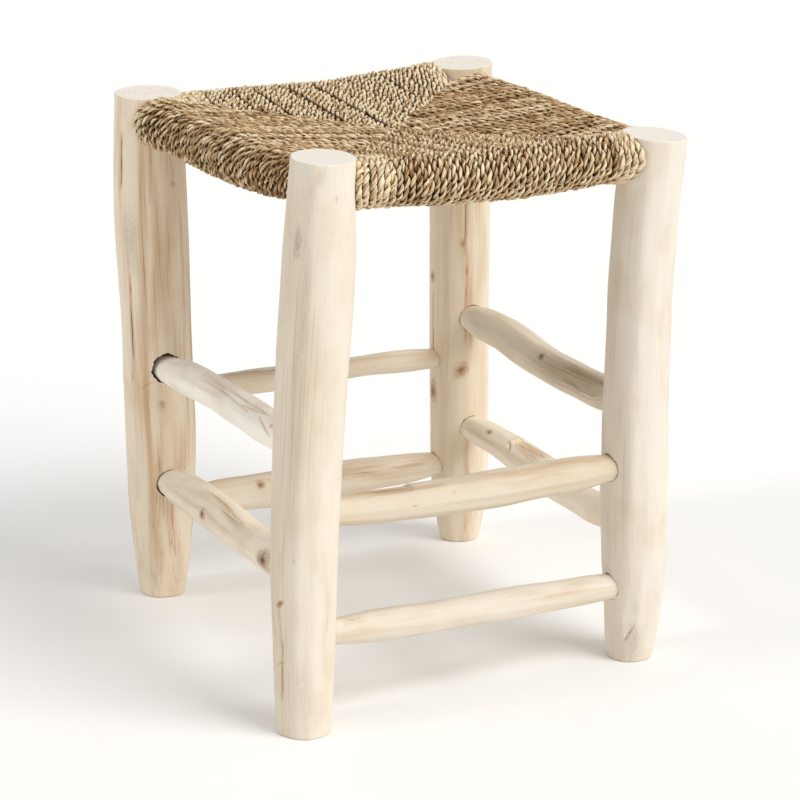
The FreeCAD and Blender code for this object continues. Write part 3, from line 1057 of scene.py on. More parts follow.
@dataclass
class Leg(Pole):
    """A leg: a bowed, leaning pole with a knife-cut foot and a sawn top."""

    quarter: tuple[int, int] = (1, 1)
    height: float = 450.0
    sole: float = 40.0
    ankle: float = 50.0
    shin: float = 52.0
    waist: float = 54.0
    belly: float = 55.0
    top: float = 53.0
    foot_taper: float = 60.0
    splay: tuple[float, float] = (0.0, 0.0)
    bow: tuple[float, float] = (0.0, 0.0)
    bow_shares: tuple[float, ...] = (0.2, 0.5, 1.0, 0.8, 0.3)
    top_shift: tuple[float, float] = (0.0, 0.0)
    top_slope: tuple[float, float] = (0.0, 0.0)
    stool_middle: Array = field(default_factory=lambda: np.zeros(2))

    spacing: float = 304.0
    sole_bevel: float = 1.8
    top_bevel: float = 0.9
    foot_facets: int = 8
    instep_height_share: float = 0.4
    instep_girth_share: float = 0.55
    body_height_shares: tuple[float, ...] = (0.27, 0.55, 0.8)
    rim_rows: int = 6
    face_shares: tuple[float, ...] = (0.02, 0.15, 0.3, 0.45, 0.6, 0.75, 0.88, 0.97)
    facet_turn_spread: float = 0.25
    facet_reach: tuple[float, float] = (0.85, 1.35)
    facet_depth: tuple[float, float] = (0.93, 1.0)
    facet_hollow: float = 0.6
    facet_curve: float = 0.35
    facet_allowance: float = 1.005
    facet_softness: float = 0.3
    facet_fade: tuple[float, float] = (1.15, 0.9)
    grain_at_top: float = 0.25
    grain_at_sole: float = 0.2
    slope_depth: float = 30.0

    def heights(self) -> list[float]:
        """Give the heights of the leg's sections, from its sole to its top."""
        body = [self.height * share for share in self.body_height_shares]
        return [0.0, self.foot_taper * self.instep_height_share, self.foot_taper, *body, self.height]

    def girth(self, along: Array) -> Array:
        """Give the leg's plain diameter.

        Args:
            along: heights.

        Returns:
            The diameter at each.
        """
        instep = self.sole + (self.ankle - self.sole) * self.instep_girth_share
        girths = [self.sole, instep, self.ankle, self.shin, self.waist, self.belly, self.top]
        return follow(self.heights(), girths, along)

    def middle(self, along: Array) -> Array:
        """Give the leg's middle, with its lean and its bow.

        Args:
            along: heights.

        Returns:
            The middle at each.
        """
        above = 1.0 - along / self.height
        bend = follow(self.heights(), (0.0, *self.bow_shares, 0.0), along)
        plan = [self.quarter[i] * self.spacing / 2.0 + self.splay[i] * above + self.bow[i] * bend
                + self.top_shift[i] * along / self.height + self.stool_middle[i] for i in (0, 1)]
        return np.stack([*plan, along], axis=-1)

    def plain_radius(self, height: float) -> float:
        """Give the leg's plain radius at one height."""
        return float(self.girth(np.array(height))) / 2.0

    def across(self) -> tuple[Array, Array]:
        """Count turns from the stool's right side towards its back."""
        return np.array([1.0, 0.0, 0.0]), np.array([0.0, 1.0, 0.0])

    def along_of(self, points: Array) -> Array:
        """Find the height of points."""
        return points[:, 2]

    def rows(self) -> Array:
        """List the rows: the flat sole, its rounded rim, the body, the top's rim and the top.

        Returns:
            For each row its height, how far it is let in, and its share of the radius.
        """
        rim = np.linspace(0.0, math.pi / 2.0, self.rim_rows)
        sole = self.sole_bevel * np.stack([1.0 - np.cos(rim), 1.0 - np.sin(rim)])
        top = self.top_bevel * np.stack([1.0 - np.cos(rim), 1.0 - np.sin(rim)])[:, ::-1]
        count = round((self.height - self.sole_bevel - self.top_bevel) / self.row_step)
        body = np.linspace(self.sole_bevel, self.height - self.top_bevel, count)[1:-1]
        rows = [(0.0, self.sole_bevel, share) for share in self.face_shares]
        rows += [(place, inset, 1.0) for place, inset in sole.T]
        rows += [(place, 0.0, 1.0) for place in body]
        rows += [(self.height - place, inset, 1.0) for place, inset in top.T]
        rows += [(self.height, self.top_bevel, share) for share in self.face_shares[::-1]]
        return np.array(rows)

    def knife_cuts(self, angle: Array, along: Array, radius: Array) -> Array:
        """Whittle the foot to broad facets that run out above the ankle.

        Args:
            angle: places round the leg, in radians.
            along: heights.
            radius: the leg's radius before.

        Returns:
            The radius with the facets.
        """
        random = np.random.default_rng(self.seed + 3)
        ankle = self.ankle / 2.0
        for number in range(self.foot_facets):
            spread = random.uniform(-self.facet_turn_spread, self.facet_turn_spread)
            turn = (number + spread) * math.tau / self.foot_facets
            reach = self.foot_taper * random.uniform(*self.facet_reach)
            hollow = 1.0 + self.facet_hollow * np.clip(1.0 - along / reach, 0.0, 1.0)
            slope = (ankle - self.sole / 2.0 * random.uniform(*self.facet_depth)) / reach
            distance = ankle - slope * np.clip(reach - along, 0.0, None) / hollow ** self.facet_curve
            distance = distance * self.facet_allowance
            cut = planed(radius, angle - turn, distance, self.facet_softness)
            fade = ease(along, reach * self.facet_fade[0], reach * self.facet_fade[1])
            radius = radius + (cut - radius) * fade
        return radius

    def ends_of_grain(self, along: Array) -> Array:
        """Tell which points lie on the sawn top or on the sole."""
        on_top = along > self.height - self.grain_at_top
        return np.where(on_top | (along < self.grain_at_sole), 1.0, 0.0)

    def settled(self, points: Array) -> Array:
        """Slope the top as the saw left it.

        Args:
            points: the finished points, under a level top.

        Returns:
            The points, with those near the top moved up or down.
        """
        offset = points[:, :2] - self.middle(points[:, 2])[:, :2]
        rise = offset @ np.array(self.top_slope)
        share = ease(points[:, 2], self.height - self.slope_depth, self.height)
        return points + np.outer(rise * share, UPWARD)


@dataclass
class Stretcher(Pole):
    """A stretcher: a thin bent pole from leg to leg, whittled down at both ends."""

    wood: PoleWood = StretcherWood()
    legs: tuple[Leg, Leg] | None = None
    heights: tuple[float, float] = (0.0, 0.0)
    thickness: float = 29.0
    tenon: float = 22.0
    lift: float = 0.0
    girth_shares: tuple[float, ...] = (1.0,) * 6
    lift_shares: tuple[float, ...] = (0.0,) * 6
    slack: tuple[float, float] = (0.5, 0.5)
    slip: tuple[float, float, float] = (0.0, 0.0, 0.0)
    torn: float = 0.15

    sides: int = 80
    row_step: float = 1.7
    swell_height: float = 0.42
    flats: int = 7
    flat_depth_share: float = 0.04
    flat_softness: float = 0.18
    planing_allowance: float = 0.5
    pith_offset: float = 1.0
    tenon_depth: float = 16.0
    tenon_proud: float = 2.0
    mortise_end_gap: float = 0.5
    station_shares: tuple[float, ...] = (0.09, 0.24, 0.42, 0.6, 0.78, 0.92)
    tip_bevel: float = 0.8
    tip_shares: tuple[float, ...] = (0.05, 0.5, 0.9, 1.0)
    snug_slack: float = 0.5
    sag: float = 0.8

    def line(self) -> tuple[Array, Array, float]:
        """Draw the straight line from the middle of one leg to the middle of the other.

        Returns:
            Its start, its direction and its length.
        """
        start, end = (leg.middle(np.array(height)) for leg, height in zip(self.legs, self.heights))
        length = float(np.linalg.norm(end - start))
        return start, (end - start) / length, length

    def across(self) -> tuple[Array, Array]:
        """Count turns from the top towards the outside of the stool.

        Returns:
            The direction up and the direction outward.
        """
        direction = self.line()[1]
        outward = unit(np.cross(direction, UPWARD))
        return np.cross(outward, direction), outward

    def clear_stretch(self) -> tuple[float, float]:
        """Find where the piece leaves the legs' surfaces.

        Returns:
            The two places along its line.
        """
        start, end = (leg.plain_radius(height) for leg, height in zip(self.legs, self.heights))
        return start, self.line()[2] - end

    def stations(self) -> list[float]:
        """List the places where the piece's size is known.

        Returns:
            Places along its line, from the root of one tenon to that of the other.
        """
        start, end = self.clear_stretch()
        inner = [start + (end - start) * share for share in self.station_shares]
        return [start + self.tenon_proud, *inner, end - self.tenon_proud]

    def girth(self, along: Array) -> Array:
        """Give the piece's plain diameter."""
        girths = [self.tenon, *(self.thickness * share for share in self.girth_shares), self.tenon]
        return follow(self.stations(), girths, along)

    def middle(self, along: Array) -> Array:
        """Give the piece's middle, with its bend.

        Args:
            along: places along its line.

        Returns:
            The middle at each.
        """
        start, direction, _ = self.line()
        lifts = [0.0, *(self.lift * share for share in self.lift_shares), 0.0]
        up = self.across()[0]
        bend = follow(self.stations(), lifts, along)
        return start + np.multiply.outer(along, direction) + np.multiply.outer(bend, up)

    def along_of(self, points: Array) -> Array:
        """Find how far points lie from the middle of the first leg."""
        start, direction, _ = self.line()
        return (points - start) @ direction

    def rows(self) -> Array:
        """List the rows from tip to tip, each tip closed by rows drawn in to its middle.

        Returns:
            For each row its place, how far it is let in, and its share of the radius.
        """
        start, end = self.clear_stretch()
        tips = start - self.tenon_depth, end + self.tenon_depth
        count = round((tips[1] - tips[0]) / self.row_step)
        body = np.linspace(tips[0] + self.tip_bevel, tips[1] - self.tip_bevel, count)
        rows = [(tips[0], self.tip_bevel, share) for share in self.tip_shares]
        rows += [(place, 0.0, 1.0) for place in body]
        rows += [(tips[1], self.tip_bevel, share) for share in self.tip_shares[::-1]]
        return np.array(rows)

    def bores(self) -> dict[str, Bore]:
        """Describe the holes that the piece needs, each with the piece against one side of it.

        Returns:
            One hole for each of the two legs, by the leg's name.
        """
        start, direction, _ = self.line()
        up = self.across()[0]
        holes = {}
        for leg, place, way, slack in zip(self.legs, self.clear_stretch(), (-1.0, 1.0), self.slack):
            loose = slack - self.snug_slack
            middle = start + direction * place + up * loose * self.sag
            middle = middle + np.array(self.slip) * loose
            radius = self.tenon / 2.0 + slack
            depth = self.tenon_depth + self.mortise_end_gap
            torn = self.torn if slack == max(self.slack) else Bore.torn
            holes[leg.name] = Bore(middle, direction * way, radius, depth, torn)
        return holes


@dataclass
class SeatRail(Stretcher):
    """A rail of the seat, which the cord hides."""

    # Painted shade: the rail's wood is darkened to the brown of wood lying in shade under the cord.
    wood: PoleWood = PoleWood(pale="a88b63", tan="8f7048")

    sides: int = 40
    row_step: float = 4.0


@dataclass(frozen=True)
class Course:
    """The middle line of one turn of cord, with the directions out of the seat and across it."""

    points: Array
    outside: Array
    side: Array
    walked: Array


@dataclass(frozen=True)
class Strand:
    """One of the cord's two strands: a flattened straw tube with painted shade towards its gaps."""

    high: float = 1.3
    wide: float = 1.62
    apart: float = 1.36
    sides: int = 7
    squash: float = 0.09
    lump: float = 0.12
    lump_length: float = 5.3
    # Painted shade: how deep and how dark the shade painted into the gaps, and on the strand's inner
    # edge, lies.
    shade_depths: tuple[float, float] = (0.45, -0.25)
    gap_shade: float = 0.95
    shaded_edge_turns: tuple[float, float] = (-0.1, 0.7)
    edge_shade: float = 0.6

    def lay(self, skin: Skin, course: Course, twist: Array, tone: Array, number: float,
            fullness: float, shadow: float) -> None:
        """Wind the strand round the middle line of its cord.

        Args:
            skin: where the strand is added.
            course: the cord's middle line.
            twist: how far the strand has turned at each point.
            tone: how pale the strand is at each point.
            number: sets the strand's fibres apart from those of others.
            fullness: how much wider it spreads than other strands.
            shadow: how dark the painted shade in its gaps is.
        """
        around = np.linspace(0.0, math.tau, self.sides, endpoint=False)
        lumps = self.lump * np.sin(course.walked / self.lump_length + number)
        fat = 1.0 + self.squash * np.cos(twist) + lumps
        out = spoke(twist, course.outside, course.side)
        across = spoke(twist, course.side, -course.outside)
        high = (self.apart + self.high * np.cos(around)[None, :]) * fat[:, None]
        wide = self.wide * fullness ** 2 * np.sin(around)[None, :] * fat[:, None]
        ring = high[..., None] * out[:, None, :] + wide[..., None] * across[:, None, :]
        # Painted shade: points deep towards the cord's middle, and on the strand's inner side, are
        # marked to take the gap colour.
        depth = np.einsum("ijk,ik->ij", ring, course.outside) / (self.apart + self.high)
        edge = ease(-np.cos(around), *self.shaded_edge_turns) * self.edge_shade
        crevice = np.clip(ease(depth, *self.shade_depths) * self.gap_shade + edge, 0.0, 1.0)
        crevice = np.clip(crevice * (2.0 - fullness) ** 4 * shadow, 0.0, 1.0)
        fibre = np.stack(np.broadcast_arrays(
            (course.walked + number)[:, None],
            (self.high * np.cos(around) + number)[None, :],
            (self.wide * np.sin(around))[None, :]), axis=-1)
        tone = np.repeat(tone[:, None], self.sides, axis=1)
        skin.add_rings(course.points[:, None, :] + ring, tone=tone, crevice=crevice, fibre=fibre)


@dataclass(frozen=True)
class ShadedPacking:
    """The stuffing of crossed cord ends, laid as a sheet wholly in the painted gap shade, which shows
    only as dark depth in the gaps.
    """

    depth: float = 1.1
    thickness: float = 0.6
    strips: int = 48
    rows: int = 72
    step: float = 3.0

    def lay(self, skin: Skin, side: "CordSide") -> None:
        """Lay the stuffing just under a side's turns.

        Args:
            skin: where it is added.
            side: the side of the seat that it fills.
        """
        strips = []
        for number in np.linspace(0.0, side.turns - 1.0, self.strips):
            points, outside, _ = side.route(number, self.step)
            share = np.linspace(0.0, len(points) - 1.0, self.rows)
            whole = np.arange(len(points))
            normal = unit(read_line(outside, whole, share))
            strips.append((read_line(points, whole, share), normal))
        below = self.depth + self.thickness
        face = np.stack([strip - normal * self.depth for strip, normal in strips])
        back = np.stack([strip - normal * below for strip, normal in strips])
        rings = np.concatenate([face, back[:, ::-1]], axis=1)
        shape = rings.shape[:2]
        # Painted shade: the sheet takes the full gap colour everywhere.
        skin.add_rings(rings, tone=np.zeros(shape), crevice=np.ones(shape), fibre=rings)


@dataclass(frozen=True)
class Hand:
    """How the turns of a cord laid by hand differ, and how full and pale some of them are."""

    slide: float = 0.045
    proud: float = 0.22
    proud_wander: float = 0.25
    side_wander: float = 0.4
    twist_wander: float = 0.5
    strand_wander: float = 0.2
    lay_range: tuple[float, float] = (0.9, 1.1)
    strand_tone: float = 0.1
    most_tone: float = 1.2
    pale_fade: tuple[float, float] = (-0.5, 1.5)
    pale_proud: float = 0.5
    pale_tone: float = 0.4
    pale_fullness: float = 0.2
    fibre_span: float = 400.0
    fibre_apart: float = 500.0


@dataclass
class CordSide:
    """The cord's turns round one rail, from leg to leg, with the seat's two layers inside it.

    A pair of values belongs to the ends at the first and at the second leg. Where a side lies
    over its neighbour, its turns reach past the diagonal. A parting is a place and its size.
    """

    name: str
    seed: int
    rail: SeatRail
    centre: Array
    corner_heights: tuple[float, float]
    over: tuple[bool, bool]
    tone: float = 0.5
    uneven: float = 0.35
    pale_turns: tuple[int, int] = (0, 0)
    corner_swell: tuple[float, float] = (0.0, 0.0)
    corner_rise: tuple[float, float] = (0.0, 0.0)
    tone_spread: float = 0.13
    flat_tone: float = 0.0
    shadow: float = 1.0
    partings: tuple[tuple[float, float], ...] = ()

    strand: Strand = Strand()
    hand: Hand = Hand()
    shaded_packing: ShadedPacking = ShadedPacking()
    swell_length: float = 30.0
    rail_clearance: float = 0.3
    turns: int = 48
    cord: float = 5.3
    lay: float = 15.2
    step: float = 1.6
    under_step: float = 2.8
    leg_gap: float = 0.3
    thickness: float = 13.0
    corner_thickness: float = 30.0
    dip: float = 0.5
    over_share: float = 0.55
    under_share: float = -0.3
    tucks: tuple[tuple[float, float], ...] = ((0.5, 1.25), (0.45, 0.55))
    tuck_depth: float = 1.15
    arc_points: int = 40
    smoothing_rounds: int = 3
    swell_out_share: float = 0.7
    fan: float = 1.6
    roll_edge: tuple[float, float] = (2.0, 12.0)
    hug_fade: float = 0.25
    hug_turns: float = 9.0
    hug_curve: float = 1.4
    hug_pitches: float = 2.2
    parting_turns: float = 2.2
    parting_rise: tuple[float, float] = (4.0, 30.0)

    def rail_frame(self) -> tuple[Array, Array, Array, Array]:
        """Give the plane in which the cord runs round the rail.

        Returns:
            The start of the rail's line, and the directions along, inward and up.
        """
        start, direction, _ = self.rail.line()
        up, outward = self.rail.across()
        return start, direction, -outward, up

    def roll_radius(self, along: Array) -> Array:
        """Give the radius of the cord's middle line round the rail."""
        share = follow(self.rail.stations()[1:-1], self.rail.girth_shares, along)
        return self.rail.thickness * share / 2.0 + self.rail_clearance + self.cord / 2.0

    def rail_lift(self, along: Array) -> Array:
        """Give how far the roll bends up from the rail's straight line."""
        return self.rail.lift * follow(self.rail.stations()[1:-1], self.rail.lift_shares, along)

    def beside_legs(self, along: float, amounts: tuple[float, float]) -> float:
        """Add up what the roll has beside each leg and loses away from it.

        Args:
            along: the place along the rail's line.
            amounts: what it has at the first leg and at the second.

        Returns:
            The amount at that place.
        """
        clear = self.rail.clear_stretch()
        away = (along - clear[0], clear[1] - along)
        return sum(amount * math.exp(-(gap / self.swell_length) ** 2)
                   for amount, gap in zip(amounts, away))

    def diagonal_end(self, number: float) -> tuple[Array, float, int]:
        """Find where a turn's runs end on the diagonal between two sides of the seat.

        Args:
            number: the turn, counted from the first leg.

        Returns:
            The place in plan, its share of the way from the leg to the middle, and the corner.
        """
        half = self.turns / 2.0
        corner = 0 if number < half else 1
        share = (number + 0.5 if corner == 0 else self.turns - number - 0.5) / half
        leg, height = self.rail.legs[corner], self.rail.heights[corner]
        foot = leg.middle(np.array(height))[:2]
        inward = unit(self.centre[:2] - foot)
        first = foot + inward * (leg.plain_radius(height) + self.cord / 2.0)
        return first + (self.centre[:2] - first) * share, share, corner

    def layer_heights(self, share: float, corner: int) -> tuple[float, float]:
        """Give the heights of the cord's middle line on the diagonal.

        Args:
            share: the share of the way from the leg to the seat's middle.
            corner: which of the two legs.

        Returns:
            The height in the top layer and in the bottom one.
        """
        top = self.corner_heights[corner] * (1.0 - share) + self.centre[2] * share
        dip = 4.0 * share * (1.0 - share) * self.dip
        thick = self.corner_thickness + (self.thickness - self.corner_thickness) * share
        return top - dip - self.cord / 2.0, top - thick + self.cord / 2.0

    def leg_edge(self, corner: int, inward: Array) -> Array:
        """Find how far the leg's surface stands out along the rail.

        Args:
            corner: which of the two legs.
            inward: distances from the rail's line.

        Returns:
            The reach from the leg's middle at each distance.
        """
        radius = self.rail.legs[corner].plain_radius(self.rail.heights[corner]) + self.leg_gap
        return np.sqrt(np.clip(radius ** 2 - inward ** 2, 0.0, None))

    def route(self, number: float, step: float | None = None) -> tuple[Array, Array, Array]:
        """Lead one turn from the diagonal, over the top, round the rail and back below.

        Args:
            number: the turn, counted from the first leg; it may lie between two turns.
            step: the distance between points, where it isn't the cord's own.

        Returns:
            The points of the cord's middle line, the direction out of the seat at each, and
            how much of each point lies on the flat of the seat and not on the roll.
        """
        start, direction, inward, up = self.rail_frame()
        clear_start, clear_end = self.rail.clear_stretch()
        low, high = clear_start + self.leg_gap, clear_end - self.leg_gap
        place = low + (high - low) * (number + 0.5) / self.turns
        plan, share, corner = self.diagonal_end(number)
        top_height, bottom_height = self.layer_heights(share, corner)
        offset = plan - start[:2]
        end_along = float(offset @ direction[:2]) / float(direction[:2] @ direction[:2])
        end_in = float(offset @ inward[:2])
        swell = self.beside_legs(place, self.corner_swell)
        radius = float(self.roll_radius(np.array(place))) + swell
        lift = float(self.rail_lift(np.array(place))) + self.beside_legs(place, self.corner_rise)
        base = start[2] + direction[2] * place
        top = (top_height - base) / up[2] - lift
        bottom = (bottom_height - base) / up[2] - lift
        pitch = (high - low) / self.turns
        past = (self.over_share if self.over[corner] else self.under_share) * pitch
        high_end, low_end = self.runs(end_in + past, top, bottom, radius)
        arc = self.arc(high_end[-1], low_end[0], radius)
        seen = evenly(np.concatenate([high_end, arc]), step or self.step)
        hidden = evenly(np.concatenate([arc[-1:], low_end]), step or self.under_step)
        flat = np.concatenate([seen[:-1], hidden])
        flat[:, 0] -= self.swell_out_share * swell
        for _ in range(self.smoothing_rounds):
            flat[1:-1] = (flat[:-2] + 2.0 * flat[1:-1] + flat[2:]) / 4.0
        run = np.clip(flat[:, 0] / max(end_in, 1.0), 0.0, 1.2)
        along = place + (end_along - place) * run ** self.fan
        along += self.hug(number, corner, flat[:, 0], pitch) * (1.0 - ease(run, 0.0, self.hug_fade))
        points = start + np.multiply.outer(along, direction) + np.multiply.outer(flat[:, 0], inward)
        points = points + np.multiply.outer(flat[:, 1] + lift, up)
        path = np.gradient(points, axis=0)
        outside = unit(np.cross(path, direction))
        return points, outside, ease(flat[:, 0], *self.roll_edge)

    def runs(self, end: float, top: float, bottom: float, radius: float) -> tuple[Array, Array]:
        """Draw the straight runs of the two layers, with their tucked ends, across the rail.

        Args:
            end: how far inward the runs go.
            top: the height of the top run's end over the rail.
            bottom: the height of the bottom run's end over the rail.
            radius: the radius of the roll.

        Returns:
            The top run from its end to the roll, and the bottom run from the roll to its end.
        """
        dive = self.cord * self.tuck_depth
        lines = []
        for height, way in ((top, 1.0), (bottom, -1.0)):
            reach = math.hypot(end, height)
            turn = math.atan2(height, end) + way * math.acos(min(radius / reach, 1.0))
            leave = np.array([math.cos(turn), math.sin(turn)]) * radius
            tucked = [(end + self.cord * past, height - way * dive * down) for past, down in self.tucks]
            lines.append(np.array([*tucked, (end, height), leave]))
        return lines[0], lines[1][::-1]

    def arc(self, first: Array, last: Array, radius: float) -> Array:
        """Draw the roll's arc round the outside of the rail.

        Args:
            first: where the cord comes down on the roll.
            last: where it leaves the roll.
            radius: the radius of the roll.

        Returns:
            The points between those two places.
        """
        begin = math.atan2(first[1], first[0])
        end = math.atan2(last[1], last[0]) % math.tau
        turns = np.linspace(begin, end, self.arc_points)[1:-1]
        return radius * np.stack([np.cos(turns), np.sin(turns)], axis=-1)

    def hug(self, number: float, corner: int, inward: Array, pitch: float) -> Array:
        """Push the turns beside a leg against its round surface.

        Args:
            number: the turn.
            corner: which leg it is near.
            inward: distances from the rail's line.
            pitch: the distance from turn to turn.

        Returns:
            How far each point moves along the rail.
        """
        away = number if corner == 0 else self.turns - 1 - number
        nearness = max(0.0, 1.0 - away / self.hug_turns) ** self.hug_curve
        pull = (self.leg_edge(corner, inward) - self.leg_edge(corner, np.zeros(1))) * nearness
        pull = np.clip(pull, -self.hug_pitches * pitch, 0.0)
        return pull if corner == 0 else -pull

    def make(self, straw: bpy.types.Material) -> bpy.types.Object:
        """Lay every turn of the side as a cord of two twisted strands, over a sheet of painted shade.

        Args:
            straw: the cord's finish.

        Returns:
            The finished side of the seat.
        """
        skin = Skin()
        random = np.random.default_rng(self.seed)
        self.shaded_packing.lay(skin, self)
        for number in range(self.turns):
            self.lay_turn(skin, number, random)
        return place_in_scene(f"{self.name}_cord", skin.mesh(self.name), straw, self.name)

    def lay_turn(self, skin: Skin, number: int, random: np.random.Generator) -> None:
        """Lay one turn of the cord.

        Args:
            skin: where its two strands are added.
            number: the turn, counted from the first leg.
            random: draws how this turn differs from the others.
        """
        hand = self.hand
        slide = random.normal(0.0, hand.slide)
        points, outside, on_flat = self.route(number + slide)
        near = min(number, self.turns - 1 - number)
        corner = 0 if number < self.turns / 2 else 1
        pale = float(ease(self.pale_turns[corner] - near, *hand.pale_fade))
        walked = walk(points)
        proud = random.normal(0.0, hand.proud)
        proud = proud + random.normal(0.0, self.uneven) * on_flat + pale * hand.pale_proud
        points = points + outside * (proud + drift(random, walked, hand.proud_wander))[:, None]
        path = unit(np.gradient(points, axis=0))
        side = unit(np.cross(path, outside))
        points = points + side * drift(random, walked, hand.side_wander)[:, None]
        aside = self.parting(number) * on_flat * ease(walked, *self.parting_rise)
        points = points - side * aside[:, None]
        course = Course(points, np.cross(side, path), side, walked)
        lay = self.lay * random.uniform(*hand.lay_range)
        twist = random.uniform(0.0, math.tau) + walked * math.tau / lay
        twist = twist + drift(random, walked, hand.twist_wander)
        tone = random.normal(self.tone, self.tone_spread) + pale * hand.pale_tone
        tone = float(np.clip(tone, 0.0, hand.most_tone))
        for strand in (0, 1):
            shade = tone + random.normal(0.0, hand.strand_tone) + self.flat_tone * on_flat
            loose = drift(random, walked, hand.strand_wander) + strand * math.pi
            fibres = random.uniform(0.0, hand.fibre_span) + hand.fibre_apart * number
            self.strand.lay(skin, course, twist + loose, shade, fibres,
                            1.0 + hand.pale_fullness * pale, self.shadow)

    def parting(self, number: int) -> float:
        """Push a turn aside where the weaver left the cords apart.

        Args:
            number: the turn.

        Returns:
            How far it is pushed, towards the last turn where that is above zero.
        """
        pushed = 0.0
        for place, size in self.partings:
            away = number - place
            pushed += math.copysign(size * math.exp(-abs(away) / self.parting_turns), away)
        return pushed


def drift(random: np.random.Generator, walked: Array, size: float) -> Array:
    """Wander slowly to and fro, as a hand-laid cord does.

    Args:
        random: draws the waves.
        walked: the length of cord up to each point.
        size: how far it wanders.

    Returns:
        The wandering at each point.
    """
    total = np.zeros_like(walked)
    for wave in DRIFT_WAVES:
        turns = walked * math.tau / (wave * random.uniform(0.8, 1.25))
        total += np.sin(turns + random.uniform(0.0, math.tau)) * random.uniform(0.4, 1.0)
    return total * size / 1.5


